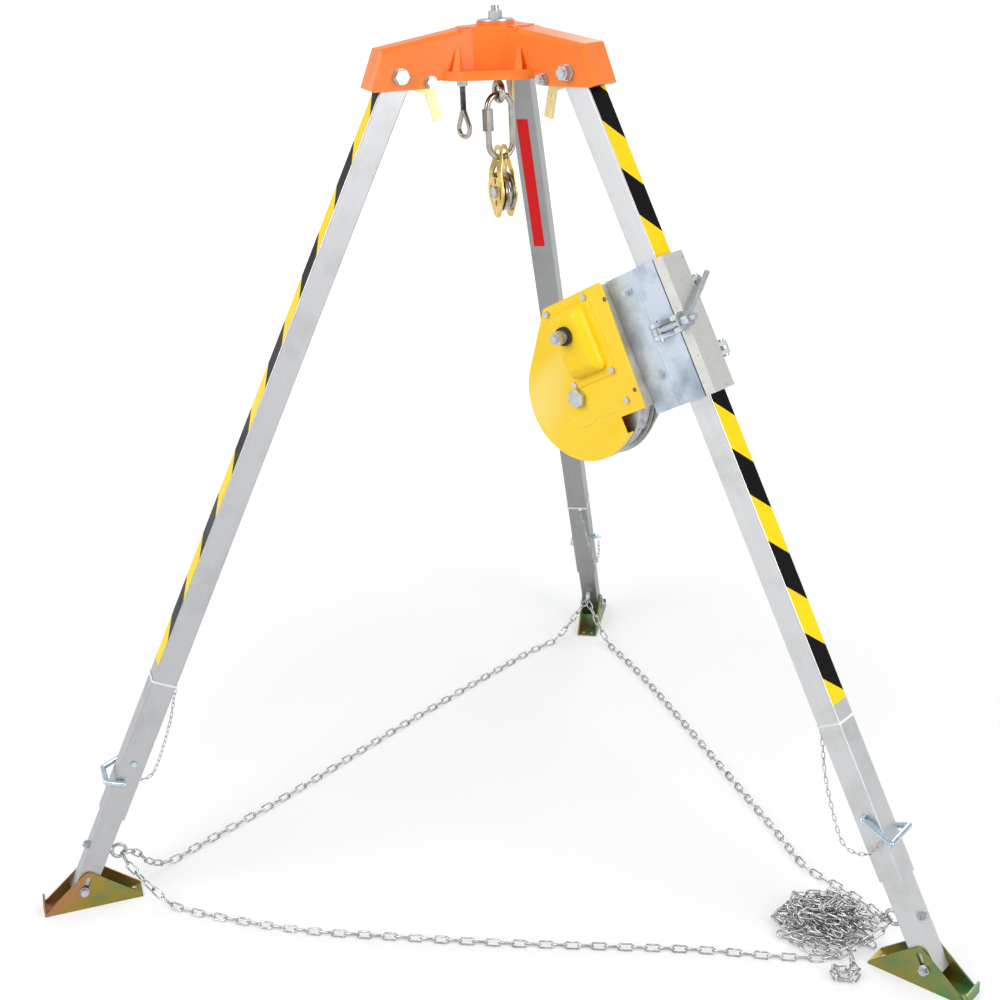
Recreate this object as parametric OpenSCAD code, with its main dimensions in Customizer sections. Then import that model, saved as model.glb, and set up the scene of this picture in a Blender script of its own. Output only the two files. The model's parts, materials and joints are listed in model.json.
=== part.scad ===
// Rescue tripod: a cast head on three telescopic legs with chained feet,
// a clamp-on hand winch on the right leg and a pulley hanging under the head.
// Millimetres, +Z up, the feet stand on z = 0. Left leg at 210 degrees,
// right leg at 330 degrees, rear leg at 90 degrees around the head's axis.

/* [Stance] */
// Angle between each leg and the vertical
leg_angle = 26.5; // [22:0.5:30]
// Distance of the leg pivots from the head's axis
pivot_r = 198; // [190:1:230]
// Pivot bolt to foot bolt with the leg pushed in
leg_reach = 1763; // [1740:1:1900]

/* [Leg tubes] */
// Outside width of the outer tube
outer_w = 50; // [46:1:54]
// Wall of the outer tube
outer_wall = 3; // [2:0.5:4]
// Wall of the inner tube
inner_wall = 3; // [2:0.5:4]
// Clearance between the two tubes on each side
slide_gap = 0.5; // [0.3:0.1:0.8]
// Rounding of the tubes' long edges
tube_round = 3; // [1:0.5:4]
// Outer tube above its pivot bolt
head_room = 22; // [18:1:24]
// Outer tube below its pivot bolt
mouth_u = 1588; // [1560:1:1610]
// Pivot bolt to the top end of the inner tube
inner_top_u = 700; // [600:10:750]
// Inner tube below its foot bolt
inner_tail = 16; // [12:1:20]
// Pivot bolt to the lock pin
lock_u = 1459; // [1430:1:1480]
// Spacing of the lock holes in the inner tube
hole_pitch = 100; // [80:5:110]
// Number of lock holes in the inner tube
hole_count = 7; // [4:1:7]

/* [Lock pin] */
// Diameter of the bent rod
pin_d = 11; // [9:0.5:12]
// Clearance around the rod in the tubes
pin_gap = 0.5; // [0.3:0.1:0.8]
// Reach of the bail away from the rod, outward from the leg
bail_out = 42; // [40:1:50]
// Reach of the bail along the leg
bail_down = 52; // [44:1:60]

/* [Foot] */
// Height of the foot bolt above the floor
foot_bolt_h = 42; // [38:1:48]
// Foot inward of its bolt
foot_in = 115; // [100:1:130]
// Foot outward of its bolt
foot_out = 85; // [75:1:100]
// Thickness of the foot plate
foot_t = 4; // [3:0.5:6]
// Clearance between the inner tube and the foot's cheeks
foot_gap = 0.75; // [0.4:0.05:1.5]
// Height of the upturned lip
lip_h = 24; // [18:1:30]
// Length of the slot between its end centres
slot_len = 28; // [20:1:30]
// Foot bolt diameter
foot_bolt_d = 10; // [8:1:12]
// Clearance around the foot bolt
foot_bolt_gap = 0.4; // [0.3:0.1:0.6]
// Diameter of the two anchor holes
anchor_hole_d = 11; // [8:1:13]
// Spacing of the two anchor holes
anchor_hole_gap = 22; // [18:1:24]

/* [Head casting] */
// Cheek wall of each arm
cheek_t = 8; // [6:0.5:10]
// Clearance between a leg tube and the cheeks
cheek_gap = 1; // [0.5:0.1:2]
// Crown above the pivots
crown_h = 79; // [74:1:86]
// Radius of the flat crown
crown_r = 58; // [50:1:64]
// Ridge beyond the pivot
ridge_out = 36; // [34:1:44]
// Height of the ridge's outer end above the pivot
ridge_h = 50; // [48:1:56]
// Toe of the arm beyond the pivot
toe_out = 64; // [60:1:70]
// Cheeks below the pivot
cheek_drop = 25; // [22:1:30]
// Wall of the roof, the end and the hub
cast_wall = 8; // [6:0.5:9]
// Chamfer of the ridges
ridge_chamfer = 7; // [4:0.5:9]
// Radius of the hub
hub_r = 76; // [72:1:80]
// Hub and flange below the pivots
hub_drop = 13; // [10:1:16]
// Radius of the flange between the arms
flange_r = 112; // [108:1:114]
// Thickness of that flange
flange_t = 17; // [14:1:20]
// Side offset of the gussets from the middle of each gap
gusset_off = 58; // [54:1:62]
// Height of the gussets above the flange
gusset_h = 42; // [36:1:46]
// Radius of the bore boss
boss_r = 24; // [20:1:28]
// Radius of the raised crown boss
crown_boss_r = 37; // [34:1:42]
// Height of the raised crown boss
crown_boss_h = 7; // [4:1:9]
// Leg pivot bolt diameter
pivot_d = 16; // [14:1:18]
// Clearance of the leg tube on its pivot bolt
pivot_gap = 0.3; // [0.3:0.05:0.5]

/* [Latches] */
// Latch bolt inward of the pivot
latch_in = 57; // [54:1:60]
// Latch bolt below the pivot
latch_drop = 13.5; // [12:0.5:15]
// Latch bolt diameter
latch_d = 12; // [10:1:13]
// Thickness of the latch plate
latch_t = 5; // [4:0.5:7]
// Length of the tab below the latch bolt
latch_len = 58; // [50:1:64]

/* [Anchor eyes] */
// Anchor bolt diameter
anchor_d = 16; // [14:1:16]
// Wire of the anchor eye
anchor_wire = 12; // [10:0.5:12]
// Radius of the anchor eye at the middle of its wire
anchor_ring = 17; // [17:0.5:20]
// Side eye bolt diameter
side_eye_d = 12; // [10:1:14]
// Distance of the side eye bolt from the head's axis
side_eye_r = 94; // [90:1:98]
// Hanging length of the side eye bolt below the flange
side_eye_len = 103; // [90:1:120]
// Radius of the side eye at the middle of its wire
side_eye_ring = 17.5; // [15:0.5:20]
// Wire of the side eye
side_eye_wire = 9; // [8:0.5:11]

/* [Quick link and pulley] */
// Direction of the pulley's axle around the head's axis
pulley_turn = 36.5; // [0:0.5:90]
// Rod of the quick link
link_rod = 12; // [10:0.5:12]
// Outside length of the quick link
link_len = 131; // [120:1:150]
// Outside width of the quick link
link_w = 62; // [60:1:68]
// Length of the hex sleeve
sleeve_len = 41; // [36:1:46]
// Hex sleeve across its flats
sleeve_af = 20; // [18:0.5:22]
// Clearance of the sleeve on its rod
sleeve_gap = 0.08; // [0.05:0.01:0.1]
// Clear width between the pulley cheeks
pulley_gap = 24; // [22:1:25]
// Thickness of a pulley cheek
pulley_t = 3.5; // [3:0.5:4]
// Sheave diameter
sheave_d = 76; // [66:1:78]
// Sheave width
sheave_w = 20; // [18:0.5:21]
// Groove radius of the sheave
groove_r = 6; // [5:0.5:7]
// Axle of the sheave below the link's hole
axle_drop = 70; // [68:1:80]
// Axle diameter
axle_d = 14; // [12:1:16]
// Running clearance of turning pieces on their shafts
run_gap = 0.08; // [0.05:0.01:0.1]

/* [Chains] */
// Wire of the base chain
chain_wire = 4; // [3.5:0.1:4.2]
// Joint to joint pitch of the base chain
chain_pitch = 26; // [25:0.5:30]
// Bow radius of a link at the middle of its wire
chain_bow = 6.4; // [6.2:0.1:7]
// Play in each chain joint
chain_slack = 0.6; // [0.5:0.1:0.9]
// Wire of the pin tethers
tether_wire = 1.8; // [1.6:0.1:1.9]
// Joint to joint pitch of the pin tethers
tether_pitch = 12; // [11.5:0.5:14]
// Bow radius of a tether link at the middle of its wire
tether_bow = 2.9; // [2.8:0.1:3.2]
// Play in each tether joint
tether_slack = 0.4; // [0.3:0.1:0.6]
// Pivot bolt to the chain eye on the inner tube
eye_u = 1670; // [1660:1:1690]
// Wire of the chain eye
eye_wire = 7.5; // [6:0.5:7.5]
// Radius of the chain eye at the middle of its wire
eye_ring = 14.25; // [14:0.25:16]
// Shank of the chain eye
eye_d = 10; // [8:1:11]

/* [Winch clamp] */
// Pivot bolt to the top of the clamp
clamp_u = 369; // [360:1:400]
// Length of the clamp along the leg
clamp_len = 263; // [255:1:270]
// Plate of the clamp
clamp_t = 5.5; // [4:0.5:6]
// Clearance of the clamp on the tube
clamp_gap = 0.5; // [0.3:0.1:0.8]
// Reach of the clamp plates from the leg's axis to the winch
clamp_reach = 100; // [96:1:104]
// Depth of the box gate beyond the tube's outer face
gate_depth = 18.5; // [17:0.5:20]
// Swing bolt diameter
swing_d = 12; // [10:1:13]
// Length of the lever on the clamp nut
lever_len = 125; // [100:5:140]

/* [Winch] */
// Drum axis from the pivot bolt along the leg
drum_u = 548; // [540:1:556]
// Drum axis from the leg's axis
drum_in = 242; // [240:1:250]
// Direction from the drum axis to the drive shaft, above square to the leg
mesh_angle = 67.5; // [62:0.5:72]
// Tooth size
gear_module = 3; // [2.8:0.1:3]
// Teeth of the drum gear
gear_teeth = 70; // [66:1:70]
// Teeth of the pinion
pinion_teeth = 14; // [14:1:15]
// Width of the gears
gear_w = 13; // [10:1:13]
// Clear width of the drum between its flanges
drum_w = 43; // [40:1:44]
// Flange radius of the drum
flange_drum_r = 128; // [122:1:132]
// Radius of the wound rope under its outer layer
wound_r = 116; // [100:1:120]
// Diameter of the wire rope
rope_d = 5; // [4:0.5:5.5]
// Turns in the outer layer of the rope
rope_turns = 6; // [4:1:6]
// Drum shaft diameter
drum_shaft_d = 20; // [18:1:20]
// Drive shaft diameter
drive_d = 20; // [18:1:22]
// Plate of the winch frame
frame_t = 4; // [3:0.5:5]
// Sheet of the gear cover
cover_t = 2.5; // [2:0.5:3]
// Radius of the guard around the gear
guard_r = 127; // [122:1:132]
// Radius of the far cheek around the drum
far_cheek_r = 131; // [126:1:136]
// Height of the brake cover's dome
dome_h = 24; // [18:1:28]

/* [Hidden] */
$fn = 48;

// Legs in the order left, right, rear
LEFT = 0;
RIGHT = 1;
REAR = 2;
leg_azimuth = [210, 330, 90];

// Stance worked out from the driving sizes
pivot_z = foot_bolt_h + leg_reach * cos(leg_angle);
foot_bolt_r = pivot_r + leg_reach * sin(leg_angle);
foot_end_r = foot_bolt_r + foot_out;
inner_w = outer_w - 2 * outer_wall - 2 * slide_gap;
foot_w = inner_w + 2 * foot_gap + 2 * foot_t;
// The head's axis lies behind the middle of the three feet
axis_y = -(foot_end_r * (1 - sin(30)) - foot_w / 2 * cos(30)) / 2;
arm_gap = outer_w + 2 * cheek_gap;
arm_w = arm_gap + 2 * cheek_t;

// Hanging pieces, heights from the pivots
crown_boss_top = crown_h + crown_boss_h;
collar_h = 7;
anchor_ring_z = -hub_drop - collar_h - anchor_ring - anchor_wire / 2;
rest_gap = 0.3;
link_bow = (link_w - link_rod) / 2;
link_top = anchor_ring_z - anchor_ring + anchor_wire / 2 + link_rod + rest_gap;
link_mid = link_top - link_len / 2;
link_low = link_top - link_len + link_rod / 2;
link_half = link_len / 2 - link_rod / 2 - link_bow;
cheek_out = pulley_gap / 2 + pulley_t;
cheek_hole_r = 11;
cheek_hole_z = link_low + link_bow - sqrt(pow(link_bow, 2) - pow(pulley_gap / 2 + pulley_t / 2, 2)) + 0.4;
axle_z = cheek_hole_z - axle_drop;

// Winch layout across the leg, y runs along the drum's axis
tube_half = outer_w / 2;
clamp_in = tube_half + clamp_gap;
clamp_out = clamp_in + clamp_t;
split_x = tube_half - 5;
gate_out = tube_half + clamp_gap + gate_depth;
gate_play = 2.5;
drum_x = -drum_in;
drum_z = -drum_u;
centre_distance = gear_module * (gear_teeth + pinion_teeth) / 2;
shaft_x = drum_x + centre_distance * cos(mesh_angle);
shaft_z = drum_z + centre_distance * sin(mesh_angle);
near_y = -56.5;
gear_y = near_y + frame_t + 1.5;
drum_y = gear_y + gear_w;
flange_drum_t = 3;
core_y = drum_y + flange_drum_t;
far_flange_y = core_y + drum_w;
far_y = far_flange_y + flange_drum_t + 3;
cover_y = near_y - cover_t;
brake_y = cover_y - 2;
dome_y = brake_y - dome_h;
frame_back = -clamp_reach;
frame_top = -clamp_u - 2;
frame_low = -clamp_u - clamp_len + 20;

module at_head() translate([0, axis_y, pivot_z]) children();
module at_arm(i) at_head() rotate([0, 0, leg_azimuth[i]]) children();
module at_pivot(i) at_arm(i) translate([pivot_r, 0, 0]) children();
module at_leg(i) at_pivot(i) rotate([0, -leg_angle, 0]) children();
module at_foot(i)
    translate([0, axis_y, 0])
        rotate([0, 0, leg_azimuth[i]])
            translate([foot_bolt_r, 0, foot_bolt_h])
                children();
module at_pulley() at_head() rotate([0, 0, pulley_turn]) children();

// A point of leg i, given in the leg's own axes, in the model's axes
function leg_point(i, p) =
    let (
        r = pivot_r + p[0] * cos(leg_angle) - p[2] * sin(leg_angle),
        z = pivot_z + p[0] * sin(leg_angle) + p[2] * cos(leg_angle),
        a = leg_azimuth[i]
    )
    [r * cos(a) - p[1] * sin(a), r * sin(a) + p[1] * cos(a) + axis_y, z];

// A flat outline in x and z, given thickness between two y values
module along_y(y0, y1)
    translate([0, y1, 0])
        rotate([90, 0, 0])
            linear_extrude(y1 - y0)
                children();
module rod_y(d, y0, y1) translate([0, y0, 0]) rotate([-90, 0, 0]) cylinder(d = d, h = y1 - y0);
module hex_y(af, y0, y1)
    translate([0, y0, 0])
        rotate([-90, 0, 0])
            cylinder(d = af / cos(30), h = y1 - y0, $fn = 6);
module hex_z(af, h) cylinder(d = af / cos(30), h = h, $fn = 6);
module ring(radius, wire) rotate_extrude() translate([radius, 0]) circle(d = wire);
module round_square(w, r) {
    square([w, w - 2 * r], center = true);
    square([w - 2 * r, w], center = true);
    for (sx = [-1, 1], sy = [-1, 1])
        translate([sx * (w / 2 - r), sy * (w / 2 - r)])
            circle(r = r);
}

// The straight line along two circles [x, y, radius] on their right, just inside their edges
tangent_in = 0.03;
function tangent(a, b) =
    let (
        d = [b[0] - a[0], b[1] - a[1]],
        l = norm(d),
        s = (a[2] - b[2]) / l,
        c = sqrt(1 - s * s),
        m = [d[1] * c + d[0] * s, d[1] * s - d[0] * c] / l,
        ra = a[2] - tangent_in,
        rb = b[2] - tangent_in
    )
    [[a[0] + ra * m[0], a[1] + ra * m[1]], [b[0] + rb * m[0], b[1] + rb * m[1]]];
// Tight outline around circles listed anticlockwise
module round_hull(circles) {
    n = len(circles);
    polygon([for (i = [0 : n - 1]) each tangent(circles[i], circles[(i + 1) % n])]);
    for (c = circles)
        translate([c[0], c[1]])
            circle(r = c[2]);
}

// Hex bolt along y through a grip, its head on the +y side and its nut on the -y side
module bolt_y(d, grip, washer_d, washer_t) {
    af = 1.5 * d;
    head_h = 0.65 * d;
    nut_h = 0.8 * d;
    tail = 0.3 * d;
    seat = grip / 2 + washer_t;
    rod_y(d, -seat - nut_h - tail, seat);
    rod_y(washer_d, grip / 2, seat);
    rod_y(washer_d, -seat, -grip / 2);
    hex_y(af, seat, seat + head_h);
    hex_y(af, -seat - nut_h, -seat);
}

// Head casting
function roof(r) = crown_h - (r - crown_r) * (crown_h - ridge_h) / (pivot_r + ridge_out - crown_r);
latch_room = 25;
arm_root = hub_r - 1.25 * cast_wall;
hub_inner_r = hub_r - 1.5 * cast_wall;
flange_top = flange_t - hub_drop;
module arm_outline()
    polygon([
        [arm_root, roof(arm_root)],
        [pivot_r + ridge_out, ridge_h],
        [pivot_r + toe_out, -cheek_drop + 5],
        [pivot_r + toe_out - 12, -cheek_drop],
        [pivot_r - latch_in + 2, -cheek_drop],
        [pivot_r - latch_in - 14, -hub_drop + 1],
        [arm_root, -hub_drop + 1]
    ]);
module arm_hollow()
    polygon([
        [pivot_r - latch_in - latch_room, -2 * cheek_drop],
        [pivot_r - latch_in - latch_room, roof(pivot_r) - cast_wall - 24],
        [pivot_r - latch_in + 4, roof(pivot_r) - cast_wall],
        [pivot_r + ridge_out - cast_wall, ridge_h - cast_wall],
        [pivot_r + toe_out - cast_wall - 1, -cheek_drop + 5],
        [pivot_r + toe_out - cast_wall - 1, -2 * cheek_drop]
    ]);
// A chamfer along both upper edges of an arm from point p to point q
module ridge_cut(p, q, before, depth) {
    side_w = depth * sqrt(2);
    for (side = [-1, 1])
        translate([p[0], side * arm_w / 2, p[1]])
            rotate([0, -atan2(q[1] - p[1], q[0] - p[0]), 0])
                rotate([45, 0, 0])
                    translate([-before, -side_w / 2, -side_w / 2])
                        cube([norm(q - p) + before + arm_w, side_w, side_w]);
}
chamfer_from = hub_r + 3;
module arm()
    difference() {
        along_y(-arm_w / 2, arm_w / 2) arm_outline();
        along_y(-arm_gap / 2, arm_gap / 2) arm_hollow();
        ridge_cut([chamfer_from, roof(chamfer_from)], [pivot_r + ridge_out, ridge_h], 0, ridge_chamfer);
        ridge_cut([pivot_r + ridge_out, ridge_h], [pivot_r + toe_out, -cheek_drop + 5],
            arm_w, ridge_chamfer - 0.5);
        translate([pivot_r, 0, 0]) rod_y(pivot_d + 0.4, -arm_w, arm_w);
        translate([pivot_r - latch_in, 0, -latch_drop]) rod_y(latch_d + 0.4, -arm_w, arm_w);
    }
// Hub, flange and crown boss turned in one piece, hollow from below round the bore boss
module hub()
    rotate_extrude()
        polygon([
            [anchor_d / 2 + 0.3, -hub_drop],
            [boss_r, -hub_drop],
            [boss_r, crown_h - 2 * cast_wall],
            [hub_inner_r, crown_h - 2 * cast_wall],
            [hub_inner_r, -hub_drop],
            [flange_r, -hub_drop],
            [flange_r, flange_top],
            [hub_r, flange_top],
            [hub_r, crown_h],
            [crown_boss_r, crown_h],
            [crown_boss_r, crown_boss_top],
            [anchor_d / 2 + 0.3, crown_boss_top]
        ]);
gusset_t = 6;
module gusset() {
    foot_x = sqrt(pow(flange_r, 2) - pow(gusset_off + gusset_t, 2));
    along_y(-gusset_t / 2, gusset_t / 2)
        polygon([
            [hub_r - 16, flange_top - 1],
            [foot_x, flange_top - 1],
            [hub_r - 2, flange_top + gusset_h],
            [hub_r - 16, flange_top + gusset_h]
        ]);
}
module head_casting()
    color("orangered")
        at_head() {
            difference() {
                hub();
                rotate([0, 0, leg_azimuth[REAR] + 60])
                    translate([side_eye_r, 0, -2 * hub_drop])
                        cylinder(d = side_eye_d + 0.6, h = 3 * hub_drop);
            }
            for (a = leg_azimuth) {
                rotate([0, 0, a]) arm();
                for (side = [-1, 1])
                    rotate([0, 0, a + 60])
                        translate([0, side * gusset_off, 0])
                            gusset();
            }
        }

// Anchor eye bolt, its washer and nut, and the side eye bolt
anchor_washer_r = 34;
anchor_washer_t = 3.5;
anchor_nut_h = 14;
stud_end = 12;
anchor_len = hub_drop + collar_h + crown_boss_top + anchor_washer_t + anchor_nut_h + stud_end;
module anchor_bolt()
    color("silver")
        at_pulley() {
            translate([0, 0, -hub_drop - collar_h - 2])
                cylinder(d = anchor_d, h = anchor_len);
            translate([0, 0, -hub_drop - collar_h]) cylinder(r = anchor_d, h = collar_h);
            translate([0, 0, anchor_ring_z]) rotate([0, 90, 0]) ring(anchor_ring, anchor_wire);
        }
module anchor_nut()
    color("silver")
        at_head()
            translate([0, 0, crown_boss_top])
                difference() {
                    union() {
                        cylinder(r = anchor_washer_r, h = anchor_washer_t);
                        translate([0, 0, anchor_washer_t]) hex_z(1.5 * anchor_d, anchor_nut_h);
                    }
                    translate([0, 0, -1]) cylinder(d = anchor_d + 0.1, h = 2 * anchor_nut_h);
                }
side_eye_z = -hub_drop - side_eye_len;
side_nut_h = 11;
module at_side_eye()
    at_head()
        rotate([0, 0, leg_azimuth[REAR] + 60])
            translate([side_eye_r, 0, 0])
                children();
module side_eye_bolt()
    color("silver")
        at_side_eye() {
            translate([0, 0, side_eye_z + side_eye_ring])
                cylinder(d = side_eye_d, h = side_eye_len + flange_t);
            translate([0, 0, side_eye_z]) rotate([90, 0, 0]) ring(side_eye_ring, side_eye_wire);
        }
module side_eye_nuts()
    color("silver")
        at_side_eye()
            difference() {
                for (z = [flange_t - hub_drop, -hub_drop - side_nut_h, -hub_drop - 2 * side_nut_h - 1])
                    translate([0, 0, z]) hex_z(1.6 * side_eye_d, side_nut_h);
                translate([0, 0, side_eye_z]) cylinder(d = side_eye_d + 0.1, h = 2 * side_eye_len);
            }

// Bolts of the head and the latches
module leg_pivot_bolts()
    color("silver")
        for (i = [LEFT, RIGHT, REAR])
            at_pivot(i) bolt_y(pivot_d, arm_w, 30, 3);
module latch_bolts()
    color("silver")
        for (i = [LEFT, RIGHT, REAR])
            at_pivot(i) translate([-latch_in, 0, -latch_drop]) bolt_y(latch_d, arm_w, 23, 2.5);
module latch(i)
    color("goldenrod")
        at_pivot(i)
            translate([-latch_in, 0, -latch_drop])
                along_y(-latch_t / 2, latch_t / 2)
                    difference() {
                        union() {
                            round_hull([[0, 0, 12.5], [-4, -latch_len + 11, 11]]);
                            round_hull([[0, 0, 12.5], [23, -14, 5]]);
                        }
                        circle(d = latch_d + 0.6);
                        translate([-2, -22]) circle(d = 6);
                    }

// Legs
module outer_tube(i)
    color("gainsboro")
        at_leg(i)
            difference() {
                translate([0, 0, -mouth_u])
                    linear_extrude(mouth_u + head_room)
                        difference() {
                            round_square(outer_w, tube_round);
                            square(outer_w - 2 * outer_wall, center = true);
                        }
                rod_y(pivot_d + 2 * pivot_gap, -outer_w, outer_w);
                translate([0, 0, -lock_u]) rod_y(pin_d + 2 * pin_gap, -outer_w, outer_w);
            }
module inner_tube(i)
    color("gainsboro")
        at_leg(i)
            difference() {
                translate([0, 0, -leg_reach - inner_tail])
                    linear_extrude(leg_reach + inner_tail - inner_top_u)
                        difference() {
                            round_square(inner_w, tube_round / 2);
                            square(inner_w - 2 * inner_wall, center = true);
                        }
                for (k = [0 : hole_count - 1])
                    translate([0, 0, -lock_u + k * hole_pitch])
                        rod_y(pin_d + 2 * pin_gap, -outer_w, outer_w);
                translate([0, 0, -leg_reach]) rod_y(foot_bolt_d + 0.4, -outer_w, outer_w);
                translate([0, 0, -eye_u])
                    rotate([0, 0, 90])
                        rod_y(eye_d + 0.4, -outer_w, outer_w);
            }
slot_d = foot_bolt_d + 2 * foot_bolt_gap;
module foot(i) {
    base_z = -foot_bolt_h;
    top_x = -slot_len * sin(leg_angle);
    top_z = slot_len * cos(leg_angle);
    edge_r = 3;
    color("gray")
        at_foot(i)
            difference() {
                union() {
                    translate([-foot_in, -foot_w / 2, base_z]) cube([foot_in + foot_out, foot_w, foot_t]);
                    translate([foot_out - foot_t, -foot_w / 2, base_z]) cube([foot_t, foot_w, lip_h]);
                    for (y = [-foot_w / 2, foot_w / 2 - foot_t])
                        along_y(y, y + foot_t)
                            round_hull([
                                [-foot_in + edge_r, base_z + edge_r, edge_r],
                                [foot_out - edge_r, base_z + edge_r, edge_r],
                                [top_x, top_z, slot_d / 2 + 10]
                            ]);
                }
                along_y(-foot_w, foot_w) round_hull([[0, 0, slot_d / 2], [top_x, top_z, slot_d / 2]]);
                for (side = [-1, 1])
                    translate([-foot_in + anchor_hole_d + 4, side * anchor_hole_gap / 2, base_z - 1])
                        cylinder(d = anchor_hole_d, h = foot_t + 2);
            }
}
module foot_bolt(i) color("silver") at_foot(i) bolt_y(foot_bolt_d, foot_w + 2 * rest_gap, 20, 2);
eye_collar = 5;
eye_x = -inner_w / 2 - eye_collar - eye_ring - eye_wire / 2 + 1;
module chain_eye(i)
    color("silver")
        at_leg(i)
            translate([0, 0, -eye_u]) {
                rotate([0, 90, 0])
                    translate([0, 0, -inner_w / 2 - eye_collar - 1])
                        cylinder(d = eye_d, h = inner_w + eye_collar + 0.8 * eye_d + 4);
                translate([-inner_w / 2 - eye_collar, 0, 0])
                    rotate([0, 90, 0])
                        cylinder(d = 1.7 * eye_d, h = eye_collar);
                translate([inner_w / 2, 0, 0]) rotate([0, 90, 0]) hex_z(1.6 * eye_d, 0.8 * eye_d);
                translate([eye_x, 0, 0]) rotate([90, 0, 0]) ring(eye_ring, eye_wire);
            }

// Lock pin: one rod bent into a bail that lies round the outer face
bail_y = outer_w / 2 + pin_d / 2 + 4;
pin_tip = outer_w / 2 + 3;
bend_swell = 0.6;
pin_route = [
    [0, -bail_y, 0],
    [bail_out, -bail_y, -bail_down],
    [bail_out, bail_y, -bail_down + 4],
    [4, bail_y, -bail_down + 8]
];
module rod_between(a, b, d) {
    v = b - a;
    translate(a)
        rotate([0, acos(v[2] / norm(v)), atan2(v[1], v[0])])
            cylinder(d = d, h = norm(v));
}
module lock_pin(i)
    color("silver")
        at_leg(i)
            translate([0, 0, -lock_u]) {
                rod_y(pin_d, -bail_y, pin_tip);
                for (k = [0 : len(pin_route) - 2]) {
                    rod_between(pin_route[k], pin_route[k + 1], pin_d);
                    translate(pin_route[k]) sphere(d = pin_d + bend_swell);
                }
            }
tie_u = [1278, 1278, 1324];
tie_gap = 0.3;
tie_t = 1.4;
tie_h = 5;
module cable_tie(i)
    color("white")
        at_leg(i)
            translate([0, 0, -tie_u[i]]) {
                linear_extrude(tie_h)
                    difference() {
                        round_square(outer_w + 2 * tie_gap + 2 * tie_t, tube_round + tie_t);
                        round_square(outer_w + 2 * tie_gap, tube_round);
                    }
                translate([-outer_w / 2 - tie_gap - 5.5, -12, -2]) cube([5, 8, 9]);
            }

// Chains of separate closed links
function unit(v) = v / norm(v);
function spline(p, steps) = concat(
    [for (i = [0 : len(p) - 2]) for (k = [0 : steps - 1])
        let (
            t = k / steps,
            a = p[max(i - 1, 0)],
            b = p[i],
            c = p[i + 1],
            d = p[min(i + 2, len(p) - 1)]
        )
        b + (c - a) * t / 2
            + (2 * a - 5 * b + 4 * c - d) * pow(t, 2) / 2
            + (3 * b - a - 3 * c + d) * pow(t, 3) / 2],
    [p[len(p) - 1]]);
function step_at(p, i) = norm(p[min(i + 1, len(p) - 1)] - p[i]);
function lengths(p) = [for (i = 0, s = 0; i < len(p); s = s + step_at(p, i), i = i + 1) s];
function at_length(p, l, s) =
    [for (axis = [0 : 2]) lookup(s, [for (i = [0 : len(p) - 1]) [l[i], p[i][axis]]])];
module chain_link(pitch, wire, bow, slack) {
    half_run = (pitch + slack + wire) / 2 - bow;
    for (side = [-1, 1]) {
        translate([side * half_run, 0, 0])
            rotate([0, 0, -90 * side])
                rotate_extrude(angle = 180)
                    translate([bow, 0])
                        circle(d = wire);
        translate([-half_run, side * bow, 0])
            rotate([0, 90, 0])
                cylinder(d = wire, h = 2 * half_run);
    }
}
module place_link(a, b, roll) {
    d = unit(b - a);
    side = unit(cross([0, 0, 1], d));
    up = cross(d, side);
    w = side * cos(roll) + up * sin(roll);
    v = cross(d, w);
    m = (a + b) / 2;
    multmatrix([
        [d[0], w[0], v[0], m[0]],
        [d[1], w[1], v[1], m[1]],
        [d[2], w[2], v[2], m[2]],
        [0, 0, 0, 1]
    ])
        children();
}
// Links along a route, on their corners. Those at its ends turn to the roll
// of what they hang on, and a free end has no roll of its own.
function half_turn(a) = a - 180 * floor((a + 90) / 180);
module chain(route, pitch, wire, bow, slack, roll_from, roll_to) {
    run = lengths(route);
    total = run[len(run) - 1];
    n = ceil(total / pitch);
    step = total / n;
    ease = 5;
    first = half_turn(roll_from - 45);
    last = is_undef(roll_to) ? 0 : half_turn(roll_to - 45 - 90 * (n - 1));
    joints = [for (k = [0 : n]) at_length(route, run, k * step)];
    for (k = [0 : n - 1]) {
        lead = first * max(0, 1 - k / ease);
        tail = last * max(0, 1 - (n - 1 - k) / ease);
        place_link(joints[k], joints[k + 1], 90 * k + 45 + lead + tail)
            chain_link(step, wire, bow, slack);
    }
}

// A run of chain hangs on an eye by h: the leg, the turn around the ring
// and the swing to the side of the link that hangs there
chain_lie = chain_bow * sin(45) + chain_wire / 2 + 0.3;
hang_back = eye_wire / 2 + 0.5 - chain_slack / 2;
function leg_dir(i, d) = unit(leg_point(i, d) - leg_point(i, [0, 0, 0]));
function hang_dir(h) =
    leg_dir(h[0], [-cos(h[1]) * cos(h[2]), sin(h[2]), -sin(h[1]) * cos(h[2])]);
function hang_point(h) =
    leg_point(h[0], [eye_x - eye_ring * cos(h[1]), 0, -eye_u - eye_ring * sin(h[1])])
        - hang_back * hang_dir(h);
function hang_roll(h, way) =
    let (
        d = way * hang_dir(h),
        side = unit(cross([0, 0, 1], d)),
        w = cross(leg_dir(h[0], [sin(h[1]), 0, -cos(h[1])]), d)
    )
    atan2(w * cross(d, side), w * side);
function eye_ground(i) = let (p = leg_point(i, [eye_x, 0, -eye_u])) [p[0], p[1], chain_lie];
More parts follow.
